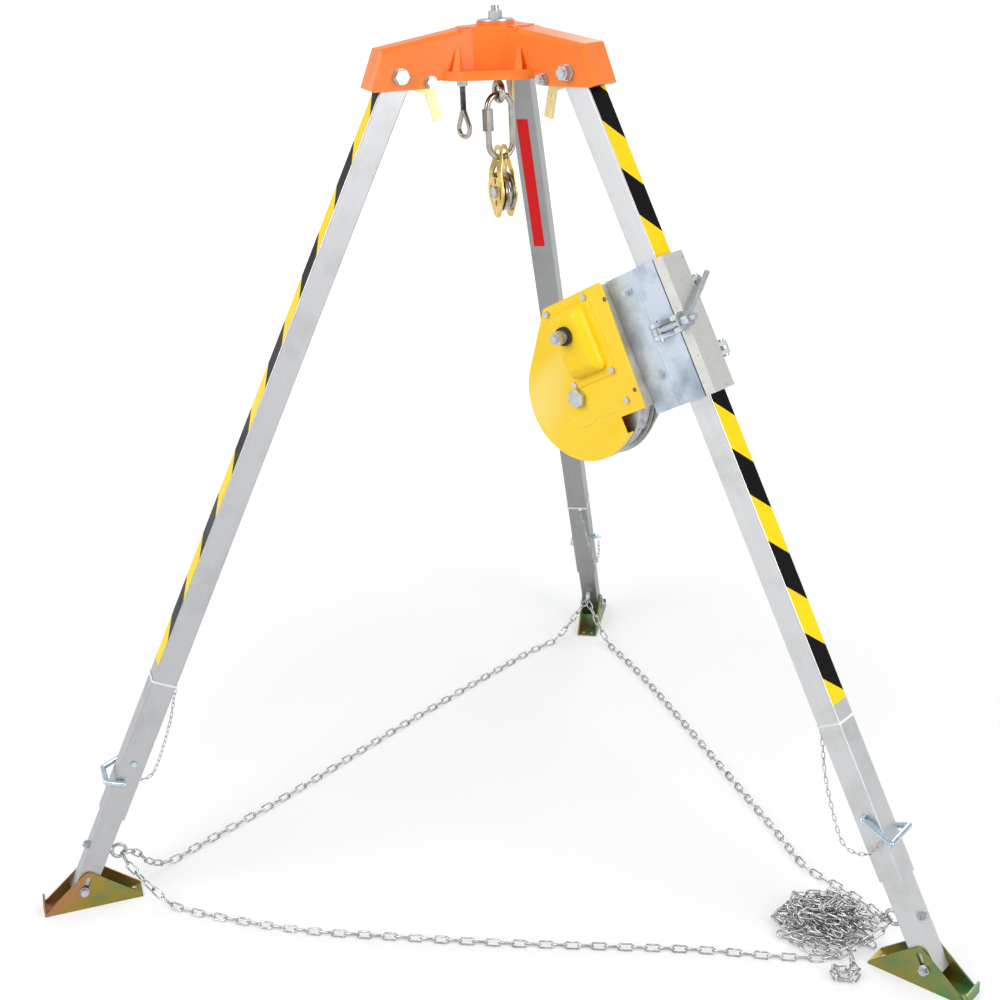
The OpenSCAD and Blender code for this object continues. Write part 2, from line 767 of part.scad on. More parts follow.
// Route from hang h to hang g: shares of the way with offsets to the outside
function base_route(h, g, sag) =
    let (
        a = eye_ground(h[0]),
        b = eye_ground(g[0]),
        outward = cross(unit(b - a), [0, 0, 1]),
        way = concat(
            [hang_point(h), hang_point(h) + chain_pitch * hang_dir(h)],
            [for (s = sag) a + (b - a) * s[0] + outward * s[1]],
            [hang_point(g) + chain_pitch * hang_dir(g), hang_point(g)]
        )
    )
    [for (p = spline(way, 12)) [p[0], p[1], max(p[2], chain_lie)]];
upper_turn = 2;
lower_turn = 38;
end_swing = 30;
front_sag = [
    [0.08, 38], [0.14, 57], [0.26, 75], [0.37, 70], [0.52, 57],
    [0.65, 38], [0.77, 21], [0.86, 19], [0.925, 12]
];
left_sag = [[0.085, -8], [0.3, -10], [0.54, -29], [0.84, -39], [0.92, -26]];
right_sag = [
    [0.08, -14], [0.2, -24], [0.37, -21], [0.69, -6], [0.79, 0], [0.86, -36], [0.925, -52]
];
module base_chain(h, g, sag)
    color("lightgray")
        chain(base_route(h, g, sag), chain_pitch, chain_wire, chain_bow, chain_slack,
            hang_roll(h, 1), hang_roll(g, -1));
module front_base_chain()
    base_chain([LEFT, lower_turn, end_swing], [RIGHT, lower_turn, -end_swing], front_sag);
module left_base_chain()
    base_chain([LEFT, upper_turn, -end_swing], [REAR, upper_turn, end_swing], left_sag);
module right_base_chain()
    base_chain([REAR, lower_turn, -end_swing], [RIGHT, upper_turn, end_swing], right_sag);

// Spare chain: loops that wind in on the floor, out again on top of themselves, and in once more
pile_r = 92;
pile_step = 19;
pile_layers = 3;
pile_turns = 2.4;
pile_climb = 0.25;
pile_wave = 0.07;
pile_in = 161;
pile_side = 22;
pile_slack = 0.8;
pile_steps = 360;
layer_h = 2 * chain_lie + 1.2;
pile_centre = eye_ground(RIGHT)
    + pile_in * [-cos(leg_azimuth[RIGHT]), -sin(leg_azimuth[RIGHT]), 0]
    + pile_side * [-sin(leg_azimuth[RIGHT]), cos(leg_azimuth[RIGHT]), 0];
function pile_point(t) =
    let (
        layer = min(floor(t / pile_turns), pile_layers - 1),
        into = t / pile_turns - layer,
        share = layer % 2 == 0 ? into : 1 - into,
        top = layer == pile_layers - 1,
        rise = top ? 0 : max(0, 1 - (1 - into) * pile_turns / pile_climb),
        r = (pile_r - pile_step * pile_turns * share) * (1 + pile_wave * sin(2 * 360 * t + 40))
    )
    pile_centre + [r * cos(360 * t), r * sin(360 * t), layer_h * (layer + rise)];
module chain_pile()
    color("lightgray")
        chain([for (k = [0 : pile_steps]) pile_point(k / pile_steps * pile_turns * pile_layers)],
            chain_pitch, chain_wire, chain_bow, pile_slack, 45, undef);

// Tether from the cable tie to the bail of the lock pin
function tether_route(i) =
    [for (p = [
        [-outer_w / 2 - 7, -8, -tie_u[i] - 4],
        [-outer_w / 2 - 12, -12, -tie_u[i] - 30],
        [-outer_w / 2 - 28, -24, -tie_u[i] - 100],
        [-outer_w / 2 - 38, -bail_y, -lock_u - 20],
        [-outer_w / 2 - 28, -bail_y - 2, -lock_u - 56],
        [-10, -bail_y - 4, -lock_u - 66],
        [bail_out - 22, -bail_y - 2, -lock_u - bail_down + 6]
    ]) leg_point(i, p)];
module tether(i)
    color("silver")
        chain(spline(tether_route(i), 12), tether_pitch, tether_wire, tether_bow, tether_slack, 0, undef);

// Winch clamp around the right leg
bolt_u = 492;
pin_x = -16;
pin_y = -clamp_out - 15;
hinge_x = gate_out - 9;
hinge_y = clamp_out + 18;
hinge_u = [435, 563];
fork = 7.5;
lug_t = 8;
mount_x = -clamp_reach + 42;
mount_u = [402, 566];
mount_d = 10;
clamp_pin_d = 9;
ear_y = pin_y - 7;
module winch_bracket()
    color("slategray")
        at_leg(RIGHT)
            difference() {
                union() {
                    translate([0, 0, -clamp_u - clamp_len])
                        linear_extrude(clamp_len) {
                            for (y = [-clamp_out, clamp_in])
                                translate([-clamp_reach + 0.2, y])
                                    square([clamp_reach - 0.2 + split_x, clamp_t]);
                            translate([-clamp_out, -clamp_out]) square([clamp_t, 2 * clamp_out]);
                        }
                    for (side = [-1, 1])
                        translate([-clamp_out - 7, side * clamp_out, -clamp_u - clamp_len])
                            cylinder(r = 2.2, h = clamp_len);
                    for (z = [-bolt_u - fork - lug_t, -bolt_u + fork])
                        translate([0, 0, z])
                            linear_extrude(lug_t)
                                round_hull([
                                    [pin_x, pin_y, 12],
                                    [split_x - 10, -clamp_out + 1, 2],
                                    [pin_x - 22, -clamp_out + 1, 2]
                                ]);
                    for (u = hinge_u)
                        translate([0, 0, -u - lug_t / 2])
                            linear_extrude(lug_t)
                                round_hull([
                                    [-8, clamp_out - 1, 2],
                                    [split_x - 12, clamp_out - 1, 2],
                                    [hinge_x, hinge_y, 11]
                                ]);
                }
                for (u = mount_u)
                    translate([mount_x, 0, -u]) rod_y(mount_d + 0.4, -2 * clamp_out, 2 * clamp_out);
                translate([pin_x, pin_y, -bolt_u - 40]) cylinder(d = clamp_pin_d + 0.2, h = 80);
                for (u = hinge_u)
                    translate([hinge_x, hinge_y, -u - 40]) cylinder(d = clamp_pin_d + 0.2, h = 80);
            }
module bracket_bolts()
    color("silver")
        at_leg(RIGHT)
            for (u = mount_u)
                translate([mount_x, 0, -u]) bolt_y(mount_d, 2 * clamp_out, 20, 2);
module clamp_gate()
    color("slategray")
        at_leg(RIGHT)
            difference() {
                union() {
                    translate([0, 0, -clamp_u - clamp_len])
                        linear_extrude(clamp_len)
                            difference() {
                                translate([split_x + gate_play, -clamp_out])
                                    square([gate_out - split_x - gate_play, 2 * clamp_out]);
                                translate([0, -clamp_in]) square([clamp_in, 2 * clamp_in]);
                                translate([clamp_out, -clamp_in])
                                    square([gate_out - clamp_out - clamp_t, 2 * clamp_in]);
                            }
                    for (z = [-bolt_u - fork - lug_t, -bolt_u + fork])
                        translate([clamp_in, ear_y, z])
                            cube([gate_out - clamp_in, -clamp_out + 1 - ear_y, lug_t]);
                    for (u = hinge_u, z = [-lug_t - lug_t / 2 - 0.3, lug_t / 2 + 0.3])
                        translate([0, 0, -u + z])
                            linear_extrude(lug_t)
                                round_hull([
                                    [clamp_in, clamp_out - 1, 2],
                                    [gate_out - 3, clamp_out - 1, 2],
                                    [hinge_x, hinge_y, 11]
                                ]);
                }
                for (u = hinge_u)
                    translate([hinge_x, hinge_y, -u - 40]) cylinder(d = clamp_pin_d + 0.2, h = 80);
            }
// A headed pin along the leg at height z
module clamp_pin(x, y, z, grip)
    translate([x, y, z - grip / 2]) {
        translate([0, 0, -4]) cylinder(d = 1.6 * clamp_pin_d, h = 4);
        cylinder(d = clamp_pin_d, h = grip + 3);
        translate([0, 0, grip]) cylinder(d = 1.6 * clamp_pin_d, h = 4);
    }
module clamp_pins()
    color("silver")
        at_leg(RIGHT) {
            clamp_pin(pin_x, pin_y, -bolt_u, 2 * fork + 2 * lug_t);
            for (u = hinge_u)
                clamp_pin(hinge_x, hinge_y, -u, 3 * lug_t + 0.6);
        }
washer_x = gate_out + 0.8;
washer_t = 4;
nut_x = washer_x + washer_t;
nut_h = 17;
module swing_bolt()
    color("silver")
        at_leg(RIGHT)
            translate([pin_x, pin_y, -bolt_u])
                difference() {
                    union() {
                        translate([0, 0, -fork + 1]) cylinder(r = 11, h = 2 * fork - 2);
                        rotate([0, 90, 0]) cylinder(d = swing_d, h = nut_x + nut_h + 12 - pin_x);
                    }
                    translate([0, 0, -fork]) cylinder(d = clamp_pin_d + 0.8, h = 2 * fork);
                }
lever_rise = 33;
lever_d = 11;
module clamp_lever()
    color("dimgray")
        at_leg(RIGHT)
            translate([0, pin_y, -bolt_u])
                difference() {
                    union() {
                        translate([washer_x, 0, 0]) rotate([0, 90, 0]) cylinder(r = 18, h = washer_t);
                        translate([nut_x, 0, 0]) rotate([0, 90, 0]) hex_z(2 * swing_d, nut_h);
                        translate([nut_x + nut_h / 2, 0, 0])
                            rotate([lever_rise, 0, 0])
                                rod_y(lever_d, swing_d / 2 + 2, lever_len);
                    }
                    translate([washer_x - 1, 0, 0])
                        rotate([0, 90, 0])
                            cylinder(d = swing_d + 0.6, h = washer_t + nut_h + 2);
                }

// Winch frame and covers
module at_drum() at_leg(RIGHT) translate([drum_x, 0, drum_z]) children();
module at_shaft() at_leg(RIGHT) translate([shaft_x, 0, shaft_z]) children();
tang_t = 4;
module winch_frame()
    color("silver")
        at_leg(RIGHT)
            difference() {
                union() {
                    translate([frame_back - frame_t, near_y, frame_low])
                        cube([frame_t, clamp_in - 0.2 - near_y, frame_top - frame_low]);
                    along_y(near_y, near_y + frame_t)
                        round_hull([
                            [frame_back - 4, frame_low + 10, 4],
                            [frame_back - 4, -clamp_u - 6, 4],
                            [shaft_x - 34, -clamp_u - 12, 10],
                            [drum_x, drum_z, 60]
                        ]);
                    along_y(far_y, far_y + frame_t)
                        round_hull([
                            [frame_back - 4, frame_low + 4, 4],
                            [frame_back - 4, frame_top - 4, 4],
                            [drum_x + 17, frame_top - 10, 10],
                            [drum_x, drum_z, far_cheek_r]
                        ]);
                    for (y = [-clamp_in + 0.2, clamp_in - 0.2 - tang_t])
                        translate([frame_back - 1, y, -mount_u[1] - 22])
                            cube([-frame_back - clamp_out - 8, tang_t, mount_u[1] - mount_u[0] + 44]);
                }
                translate([drum_x, 0, drum_z]) rod_y(drum_shaft_d + 0.2, near_y - 5, far_y + 10);
                translate([shaft_x, 0, shaft_z]) rod_y(drive_d + 2 * run_gap, near_y - 5, gear_y);
                for (u = mount_u)
                    translate([mount_x, 0, -u]) rod_y(mount_d + 0.4, -2 * clamp_out, 2 * clamp_out);
            }
cover_top = -clamp_u + 3;
screw_d = 6;
brake_x = [shaft_x - 44, shaft_x + 57];
brake_z = [shaft_z - 92, shaft_z + 53];
guard_screw = [drum_x + 110, drum_z - 38];
module cover_outline(inset)
    round_hull([
        [frame_back - 4, frame_low + 6, 6 - inset],
        [frame_back + 6, cover_top - 6, 6 - inset],
        [drum_x + 2, cover_top - 8, 8 - inset],
        [drum_x, drum_z, guard_r - inset]
    ]);
rim_y = gear_y + gear_w - 2;
// The guard is cut away beside the drum below the bracket
notch_x = 80;
module gear_cover()
    color("gold")
        at_leg(RIGHT)
            difference() {
                union() {
                    along_y(cover_y, near_y) cover_outline(0);
                    along_y(near_y - 1, rim_y)
                        difference() {
                            cover_outline(0);
                            cover_outline(cover_t);
                            translate([frame_back - frame_t - 8, frame_low - guard_r]) square([100, 500]);
                        }
                }
                translate([drum_x + notch_x, cover_y - 1, frame_low - guard_r]) cube([100, 100, guard_r]);
                translate([drum_x, 0, drum_z]) rod_y(drum_shaft_d + 1, cover_y - 1, near_y + 1);
                translate([shaft_x, 0, shaft_z]) rod_y(drive_d + 8, cover_y - 1, near_y + 1);
                for (x = brake_x, z = brake_z)
                    translate([x, 0, z]) rod_y(screw_d + 0.4, cover_y - 1, near_y + 1);
                translate([guard_screw[0], 0, guard_screw[1]])
                    rod_y(screw_d + 0.4, cover_y - 1, near_y + 1);
            }
module brake_outline(grow, r)
    round_hull([
        [brake_x[0] + r - grow, brake_z[0] + r - grow, r],
        [brake_x[1] - r + grow, brake_z[0] + r - grow, r],
        [brake_x[1] - r + grow, brake_z[1] - r + grow, r],
        [brake_x[0] + r - grow, brake_z[1] - r + grow, r]
    ]);
module brake_cover()
    color("gold")
        at_leg(RIGHT)
            difference() {
                union() {
                    along_y(brake_y, cover_y) brake_outline(8, 9);
                    hull($fn = 32) {
                        along_y(brake_y - 8, brake_y) brake_outline(-8, 14);
                        along_y(dome_y, dome_y + 1) brake_outline(-17, 14);
                    }
                }
                translate([shaft_x, 0, shaft_z]) rod_y(drive_d + 2 * run_gap, dome_y - 1, cover_y + 1);
                for (x = brake_x, z = brake_z)
                    translate([x, 0, z]) rod_y(screw_d + 0.4, brake_y - 1, cover_y + 1);
            }
seal_t = 7;
module shaft_seal()
    color("dimgray")
        at_shaft()
            difference() {
                rod_y(36, dome_y - seal_t, dome_y);
                rod_y(drive_d + 0.8, dome_y - seal_t - 1, dome_y + 1);
            }
module cover_screw(y) {
    rod_y(screw_d, y, near_y);
    hex_y(2 * screw_d, y - 4, y);
}
module cover_screws()
    color("silver")
        at_leg(RIGHT) {
            for (x = brake_x, z = brake_z)
                translate([x, 0, z]) cover_screw(brake_y);
            translate([guard_screw[0], 0, guard_screw[1]]) cover_screw(cover_y);
        }

// Drum, rope and gears
drum_core_r = 38;
module drum()
    color("silver")
        at_drum()
            difference() {
                union() {
                    rod_y(2 * flange_drum_r, drum_y, core_y);
                    rod_y(2 * drum_core_r, core_y - 1, far_flange_y + 1);
                    rod_y(2 * flange_drum_r, far_flange_y, far_flange_y + flange_drum_t);
                }
                rod_y(drum_shaft_d + 2 * run_gap, drum_y - 1, far_y);
            }
rope_fit = 0.3;
rope_rings = 24;
rope_sides = 6;
rope_r = (wound_r + rope_fit) / cos(180 / rope_rings) + rope_d / 2;
rope_from = core_y + rope_fit + rope_d / 2;
rope_to = far_flange_y - rope_fit - rope_d / 2;
rope_count = rope_turns * rope_rings;
function rope_centre(i) =
    [
        rope_r * cos(360 * i / rope_rings),
        rope_from + (rope_to - rope_from) * i / rope_count,
        rope_r * sin(360 * i / rope_rings)
    ];
rope_points = [for (i = [0 : rope_count]) for (k = [0 : rope_sides - 1])
    let (
        a = 360 * i / rope_rings,
        b = 360 * k / rope_sides,
        r = rope_r + rope_d / 2 * cos(b)
    )
    [r * cos(a), rope_centre(i)[1] + rope_d / 2 * sin(b), r * sin(a)]];
rope_faces = concat(
    [for (i = [0 : rope_count - 1]) for (k = [0 : rope_sides - 1])
        let (
            a = i * rope_sides + k,
            b = i * rope_sides + (k + 1) % rope_sides
        )
        each [[a, a + rope_sides, b + rope_sides], [a, b + rope_sides, b]]],
    [for (k = [1 : rope_sides - 2]) [0, k, k + 1]],
    [for (k = [1 : rope_sides - 2]) let (e = rope_count * rope_sides) [e, e + k + 1, e + k]]);
rope_self_gap = min([for (i = [0 : rope_count - rope_rings]) for (j = [i + rope_rings / 2 : rope_count])
    norm(rope_centre(i) - rope_centre(j))]) - rope_d;
module wire_rope() {
    echo(rope_self_gap = rope_self_gap);
    color("darkgray")
        at_drum() {
            difference() {
                rod_y(2 * wound_r, core_y + rope_fit, far_flange_y - rope_fit);
                rod_y(2 * drum_core_r + 0.6, core_y, far_flange_y);
            }
            polyhedron(rope_points, rope_faces);
        }
}
module drum_bolt()
    color("silver")
        at_drum() {
            rod_y(drum_shaft_d, cover_y, far_y + frame_t);
            hex_y(1.3 * drum_shaft_d, cover_y - 12, cover_y);
            hex_y(1.3 * drum_shaft_d, far_y + frame_t, far_y + frame_t + 12);
        }
// Gear with involute flanks and stub teeth, a tooth centred on the x axis
pressure = 20;
tooth_out = 0.8;
tooth_in = 1.1;
backlash = 0.2;
flank_steps = 4;
function involute(r, base) = r <= base ? 0 : let (t = sqrt(pow(r / base, 2) - 1)) t * 180 / PI - atan(t);
function half_tooth(r, teeth) =
    let (
        pitch_r = gear_module * teeth / 2,
        base = pitch_r * cos(pressure)
    )
    90 / teeth + involute(pitch_r, base) - involute(r, base) - backlash / pitch_r * 180 / PI;
function on_circle(r, a) = r * [cos(a), sin(a)];
function gear_points(teeth) =
    let (
        pitch_r = gear_module * teeth / 2,
        root = pitch_r - tooth_in * gear_module,
        tip = pitch_r + tooth_out * gear_module,
        start = max(root, pitch_r * cos(pressure)),
        flank = [for (k = [0 : flank_steps]) start + (tip - start) * k / flank_steps],
        side = root < start ? concat([root], flank) : flank
    )
    [for (n = [0 : teeth - 1]) each concat(
        [for (r = side) on_circle(r, 360 * n / teeth - half_tooth(r, teeth))],
        [for (k = [len(side) - 1 : -1 : 0])
            on_circle(side[k], 360 * n / teeth + half_tooth(side[k], teeth))])];
module drum_gear()
    color("silver")
        at_drum()
            difference() {
                along_y(gear_y, gear_y + gear_w)
                    rotate([0, 0, mesh_angle]) polygon(gear_points(gear_teeth));
                rod_y(drum_shaft_d + 2 * run_gap, gear_y - 1, drum_y + 1);
            }
hub_y = dome_y - seal_t;
pinion_end = drum_y - 0.5;
module drive_shaft()
    color("silver")
        at_shaft() {
            rod_y(drive_d, hub_y - 12, pinion_end);
            along_y(gear_y, pinion_end)
                rotate([0, 0, mesh_angle + 180 + 180 / pinion_teeth])
                    polygon(gear_points(pinion_teeth));
            rod_y(drive_d + 6, hub_y - 10, hub_y - 0.5);
            hex_y(1.15 * drive_d, hub_y - 21, hub_y - 11);
            rod_y(0.7 * drive_d, hub_y - 30, hub_y - 10);
        }

// Quick link and pulley under the anchor eye
sleeve_mid = link_mid + 13;
module quick_link()
    color("silver")
        at_pulley()
            difference() {
                translate([0, 0, link_mid])
                    for (side = [-1, 1]) {
                        translate([0, 0, side * link_half])
                            rotate([side * 90, 0, 0])
                                rotate_extrude(angle = 180)
                                    translate([link_bow, 0])
                                        circle(d = link_rod);
                        translate([side * link_bow, 0, -link_half])
                            cylinder(d = link_rod, h = 2 * link_half);
                    }
                translate([-link_bow - link_rod, -link_rod, sleeve_mid - 6])
                    cube([2 * link_rod, 2 * link_rod, 12]);
            }
module link_sleeve()
    color("silver")
        at_pulley()
            translate([-link_bow, 0, sleeve_mid - sleeve_len / 2])
                difference() {
                    hex_z(sleeve_af, sleeve_len);
                    translate([0, 0, -1]) cylinder(d = link_rod + 2 * sleeve_gap, h = sleeve_len + 2);
                }
cheek_r = 35;
slot_out = 21;
module pulley_outline()
    difference() {
        union() {
            round_hull([[0, cheek_hole_z, cheek_hole_r + 9], [0, axle_z, cheek_r]]);
            round_hull([[0, axle_z, cheek_r], [0, axle_z - 34, 16]]);
        }
        translate([0, cheek_hole_z]) circle(r = cheek_hole_r);
        translate([0, axle_z]) circle(d = axle_d + 0.2);
        round_hull([[0, axle_z + 47, 4], [-9, axle_z + 32, 3.5], [9, axle_z + 32, 3.5]]);
        for (side = [-1, 1])
            round_hull([[side * slot_out, axle_z - 9, 3], [side * slot_out, axle_z + 9, 3]]);
        for (side = [-1, 1])
            round_hull([[0, axle_z + side * slot_out - 3, 3], [0, axle_z + side * slot_out + 3, 3]]);
    }
module pulley_cheeks()
    color("goldenrod")
        at_pulley()
            rotate([0, 0, 90])
                for (y = [-cheek_out, pulley_gap / 2])
                    along_y(y, y + pulley_t) pulley_outline();
module sheave()
    color("silver")
        at_pulley()
            translate([0, 0, axle_z])
                rotate([0, 90, 0])
                    rotate_extrude()
                        difference() {
                            translate([axle_d / 2 + run_gap, -sheave_w / 2])
                                square([sheave_d / 2 - axle_d / 2 - run_gap, sheave_w]);
                            translate([sheave_d / 2 - 2, 0]) circle(r = groove_r);
                            translate([sheave_d / 2 - 2, -groove_r]) square([3, 2 * groove_r]);
                        }
module pulley_axle()
    color("silver")
        at_pulley()
            translate([0, 0, axle_z])
                rotate([0, 90, 0]) {
                    translate([0, 0, -cheek_out]) cylinder(d = axle_d, h = 2 * cheek_out);
                    for (z = [-cheek_out - 5, cheek_out])
                        translate([0, 0, z]) cylinder(d = 1.6 * axle_d, h = 5);
                }

head_casting();
anchor_bolt();
anchor_nut();
side_eye_bolt();
side_eye_nuts();
leg_pivot_bolts();
latch_bolts();
latch(LEFT);  // left_latch
latch(RIGHT);  // right_latch
latch(REAR);  // rear_latch
outer_tube(LEFT);  // left_outer_tube
outer_tube(RIGHT);  // right_outer_tube
outer_tube(REAR);  // rear_outer_tube
inner_tube(LEFT);  // left_inner_tube
inner_tube(RIGHT);  // right_inner_tube
inner_tube(REAR);  // rear_inner_tube
foot(LEFT);  // left_foot
foot(RIGHT);  // right_foot
foot(REAR);  // rear_foot
foot_bolt(LEFT);  // left_foot_bolt
foot_bolt(RIGHT);  // right_foot_bolt
foot_bolt(REAR);  // rear_foot_bolt
chain_eye(LEFT);  // left_chain_eye
chain_eye(RIGHT);  // right_chain_eye
chain_eye(REAR);  // rear_chain_eye
lock_pin(LEFT);  // left_lock_pin
lock_pin(RIGHT);  // right_lock_pin
lock_pin(REAR);  // rear_lock_pin
cable_tie(LEFT);  // left_cable_tie
cable_tie(RIGHT);  // right_cable_tie
cable_tie(REAR);  // rear_cable_tie
tether(LEFT);  // left_tether
tether(RIGHT);  // right_tether
tether(REAR);  // rear_tether
front_base_chain();
left_base_chain();
right_base_chain();
chain_pile();
winch_bracket();
bracket_bolts();
clamp_gate();
clamp_pins();
swing_bolt();
clamp_lever();
winch_frame();
gear_cover();
brake_cover();
shaft_seal();
cover_screws();
drum();
drum_gear();
wire_rope();
drum_bolt();
drive_shaft();
quick_link();
link_sleeve();
pulley_cheeks();
sheave();
pulley_axle();
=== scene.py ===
# %% [markdown]
# A rescue tripod: a painted cast head on three telescopic aluminium legs, chained
# feet, a clamp-on hand winch and a pulley. The working parts come from the packed
# model, already in place and in metres. This lesson rounds their edges, lays the
# chains, winds the rope, sticks the tapes and gives every surface its finish.

import json
import math
import random

import bmesh
import bpy
import numpy as np
from mathutils import Matrix, Vector


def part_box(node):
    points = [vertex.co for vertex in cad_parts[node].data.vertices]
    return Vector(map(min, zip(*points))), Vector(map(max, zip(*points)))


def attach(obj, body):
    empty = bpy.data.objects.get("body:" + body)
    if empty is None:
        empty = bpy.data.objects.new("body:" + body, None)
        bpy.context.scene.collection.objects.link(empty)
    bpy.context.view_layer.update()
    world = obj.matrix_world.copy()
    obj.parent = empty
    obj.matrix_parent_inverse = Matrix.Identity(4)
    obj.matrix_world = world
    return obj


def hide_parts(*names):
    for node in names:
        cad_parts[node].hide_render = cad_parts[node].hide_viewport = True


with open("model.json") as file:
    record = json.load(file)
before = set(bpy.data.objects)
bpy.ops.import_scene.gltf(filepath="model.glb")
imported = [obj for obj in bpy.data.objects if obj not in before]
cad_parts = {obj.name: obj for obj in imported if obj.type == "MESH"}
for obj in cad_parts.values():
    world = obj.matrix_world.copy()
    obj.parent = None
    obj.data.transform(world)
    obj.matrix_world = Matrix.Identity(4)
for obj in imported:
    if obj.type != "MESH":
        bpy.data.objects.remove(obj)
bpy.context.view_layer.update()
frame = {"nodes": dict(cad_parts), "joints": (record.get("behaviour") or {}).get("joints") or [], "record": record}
joint_at = {j["name"]: Vector(j["pos_m"]) for j in frame["joints"] if "pos_m" in j}
joint_axis = {j["name"]: Vector(j["axis"]) for j in frame["joints"]}
body_of = {n: b for b, group in frame["record"]["behaviour"]["bodies"].items() for n in group}
LEGS = ("left", "right", "rear")
MM = 0.001

# %% [markdown]
# The camera stands where the photograph was taken: a little right of the tripod's
# middle, above the head's height, looking down by about 21 degrees. A camera looks
# along its own minus Z, so it is first tipped up by 90 degrees less that angle, then
# turned about the upright axis. The small roll comes last, about the line of sight.

# %% Camera
view = bpy.data.cameras.new("camera")
view.lens = 54.12
camera = bpy.data.objects.new("camera", view)
camera.matrix_world = (
    Matrix.Translation((0.6158, -3.1441, 1.8717))
    @ Matrix.Rotation(math.radians(12.70), 4, "Z")
    @ Matrix.Rotation(math.radians(90 - 20.90), 4, "X")
    @ Matrix.Rotation(math.radians(-2.72), 4, "Z")
)
bpy.context.scene.collection.objects.link(camera)
bpy.context.scene.camera = camera
print("camera at", [round(c, 2) for c in camera.location])

# %% [markdown]
# Every finish below is a small web of shader nodes. One helper adds a node with its
# settings: a known property is set on the node, and anything else goes to the input
# with that name, or to the inputs in order where no name is given. A node or a socket
# becomes a link. Colours are written as they are seen, in sRGB hex, and turned to the
# linear values that a shader needs.

# %% Helpers for materials
def linear(code):
    seen = [int(code[i : i + 2], 16) / 255 for i in (1, 3, 5)]
    return [c / 12.92 if c <= 0.04045 else ((c + 0.055) / 1.055) ** 2.4 for c in seen] + [1]


def plug(tree, socket, value):
    """Links an input where the value is a node or a socket, and else sets it."""
    if isinstance(value, bpy.types.Node):
        value = value.outputs[0]
    if isinstance(value, bpy.types.NodeSocket):
        tree.links.new(value, socket)
    else:
        socket.default_value = value


def fit(tree, node, *inputs, **settings):
    for key, value in settings.items():
        if hasattr(node, key):
            setattr(node, key, value)
        else:
            plug(tree, node.inputs[key.replace("_", " ")], value)
    for socket, value in zip(node.inputs, inputs):
        plug(tree, socket, value)
    return node


def add(tree, kind, *inputs, **settings):
    return fit(tree, tree.nodes.new("ShaderNode" + kind), *inputs, **settings)


def per(size_mm):
    """Texture scale that gives features of this size on Object coordinates."""
    return 1 / (size_mm * MM)


def new_finish(name):
    finish = bpy.data.materials.new(name)
    finish.use_nodes = True
    tree = finish.node_tree
    shader = tree.nodes["Principled BSDF"]
    where = add(tree, "TexCoord").outputs["Object"]
    return finish, tree, shader, where


# %% [markdown]
# The floor is one pale sheet that runs far back, so it stands for the wall too. For
# the camera and for mirror reflections it glows a little, which makes it white without
# more light on the tripod, while the plain diffuse part still takes the shadow. The
# glow grows with the distance from the tripod, as the lamps' own light falls off.

# %% Floor
floor_mesh = bpy.data.meshes.new("floor")
sheet = bmesh.new()
bmesh.ops.create_grid(sheet, x_segments=1, y_segments=1, size=60)
sheet.to_mesh(floor_mesh)
sheet.free()
floor = bpy.data.objects.new("floor", floor_mesh)
bpy.context.scene.collection.objects.link(floor)
paper, tree, shader, where = new_finish("pale_studio_paper")
tree.nodes.remove(shader)
rays = add(tree, "LightPath").outputs
seen = add(tree, "Math", rays["Is Camera Ray"], rays["Is Glossy Ray"], operation="MAXIMUM")
also = add(tree, "Math", seen, rays["Is Transmission Ray"], operation="MAXIMUM")
flat = add(tree, "BsdfDiffuse", Color=linear("#b9b9b9"))
metres = add(tree, "VectorMath", where, operation="LENGTH").outputs["Value"]
level = add(tree, "MapRange", Value=metres, From_Min=0.8, From_Max=4.5, To_Min=0.4, To_Max=0.82)
glow = add(tree, "Emission", Color=linear("#ffffff"), Strength=level)
lit = add(tree, "AddShader", flat, glow)
both = add(tree, "MixShader", also, flat, lit)
fit(tree, tree.nodes["Material Output"], Surface=both)
floor_mesh.materials.append(paper)
print("floor laid")

# %% [markdown]
# The world is a plain studio: pale overhead and behind the tripod, darker on the
# camera's side, so that bright metal has a dark room to mirror. Three softboxes light
# the tripod: a key from the left, a fill from the right and one from behind that draws
# the edges.

# %% World and lamps
world = bpy.data.worlds.new("studio")
world.use_nodes = True
bpy.context.scene.world = world
tree = world.node_tree
tree.nodes.clear()
toward = add(tree, "SeparateXYZ", Vector=add(tree, "TexCoord").outputs["Generated"]).outputs
BEHIND_SHARE = 0.55
lean = add(tree, "Math", toward["Y"], BEHIND_SHARE, toward["Z"], operation="MULTIPLY_ADD")
share = add(tree, "MapRange", Value=lean, From_Min=-0.45, From_Max=0.75)
room = add(tree, "ValToRGB", Fac=share)
room.color_ramp.elements[0].color = linear("#7d7f82")
room.color_ramp.elements[1].color = linear("#f6f8fa")
sky = add(tree, "Background", Color=room, Strength=0.8)
white = add(tree, "Background", Color=linear("#ffffff"), Strength=1.0)
camera_ray = add(tree, "LightPath").outputs["Is Camera Ray"]
mixed = add(tree, "MixShader", camera_ray, sky, white)
add(tree, "OutputWorld", mixed)
bpy.context.scene.view_settings.view_transform = "Standard"

AIM = Vector((0, 0, 0.9))
for name, place, size, power in (
    ("key_softbox", (-2.6, -3.2, 3.2), 3.2, 125),
    ("fill_softbox", (3.2, -2.4, 2.2), 1.8, 75),
    ("back_softbox", (0.8, 3.0, 3.2), 2.0, 45),
):
    lamp = bpy.data.lights.new(name, "AREA")
    lamp.size = size
    lamp.energy = power
    box = bpy.data.objects.new(name, lamp)
    box.location = place
    box.rotation_euler = (AIM - Vector(place)).to_track_quat("-Z", "Y").to_euler()
    bpy.context.scene.collection.objects.link(box)
print("stage: world and 3 softboxes")

# %% [markdown]
# Each leg has its own axes: x out from the tripod, y around it and z up the leg,
# from the pivot bolt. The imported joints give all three, so a tape or a grain line
# follows its leg exactly, whatever its angle.

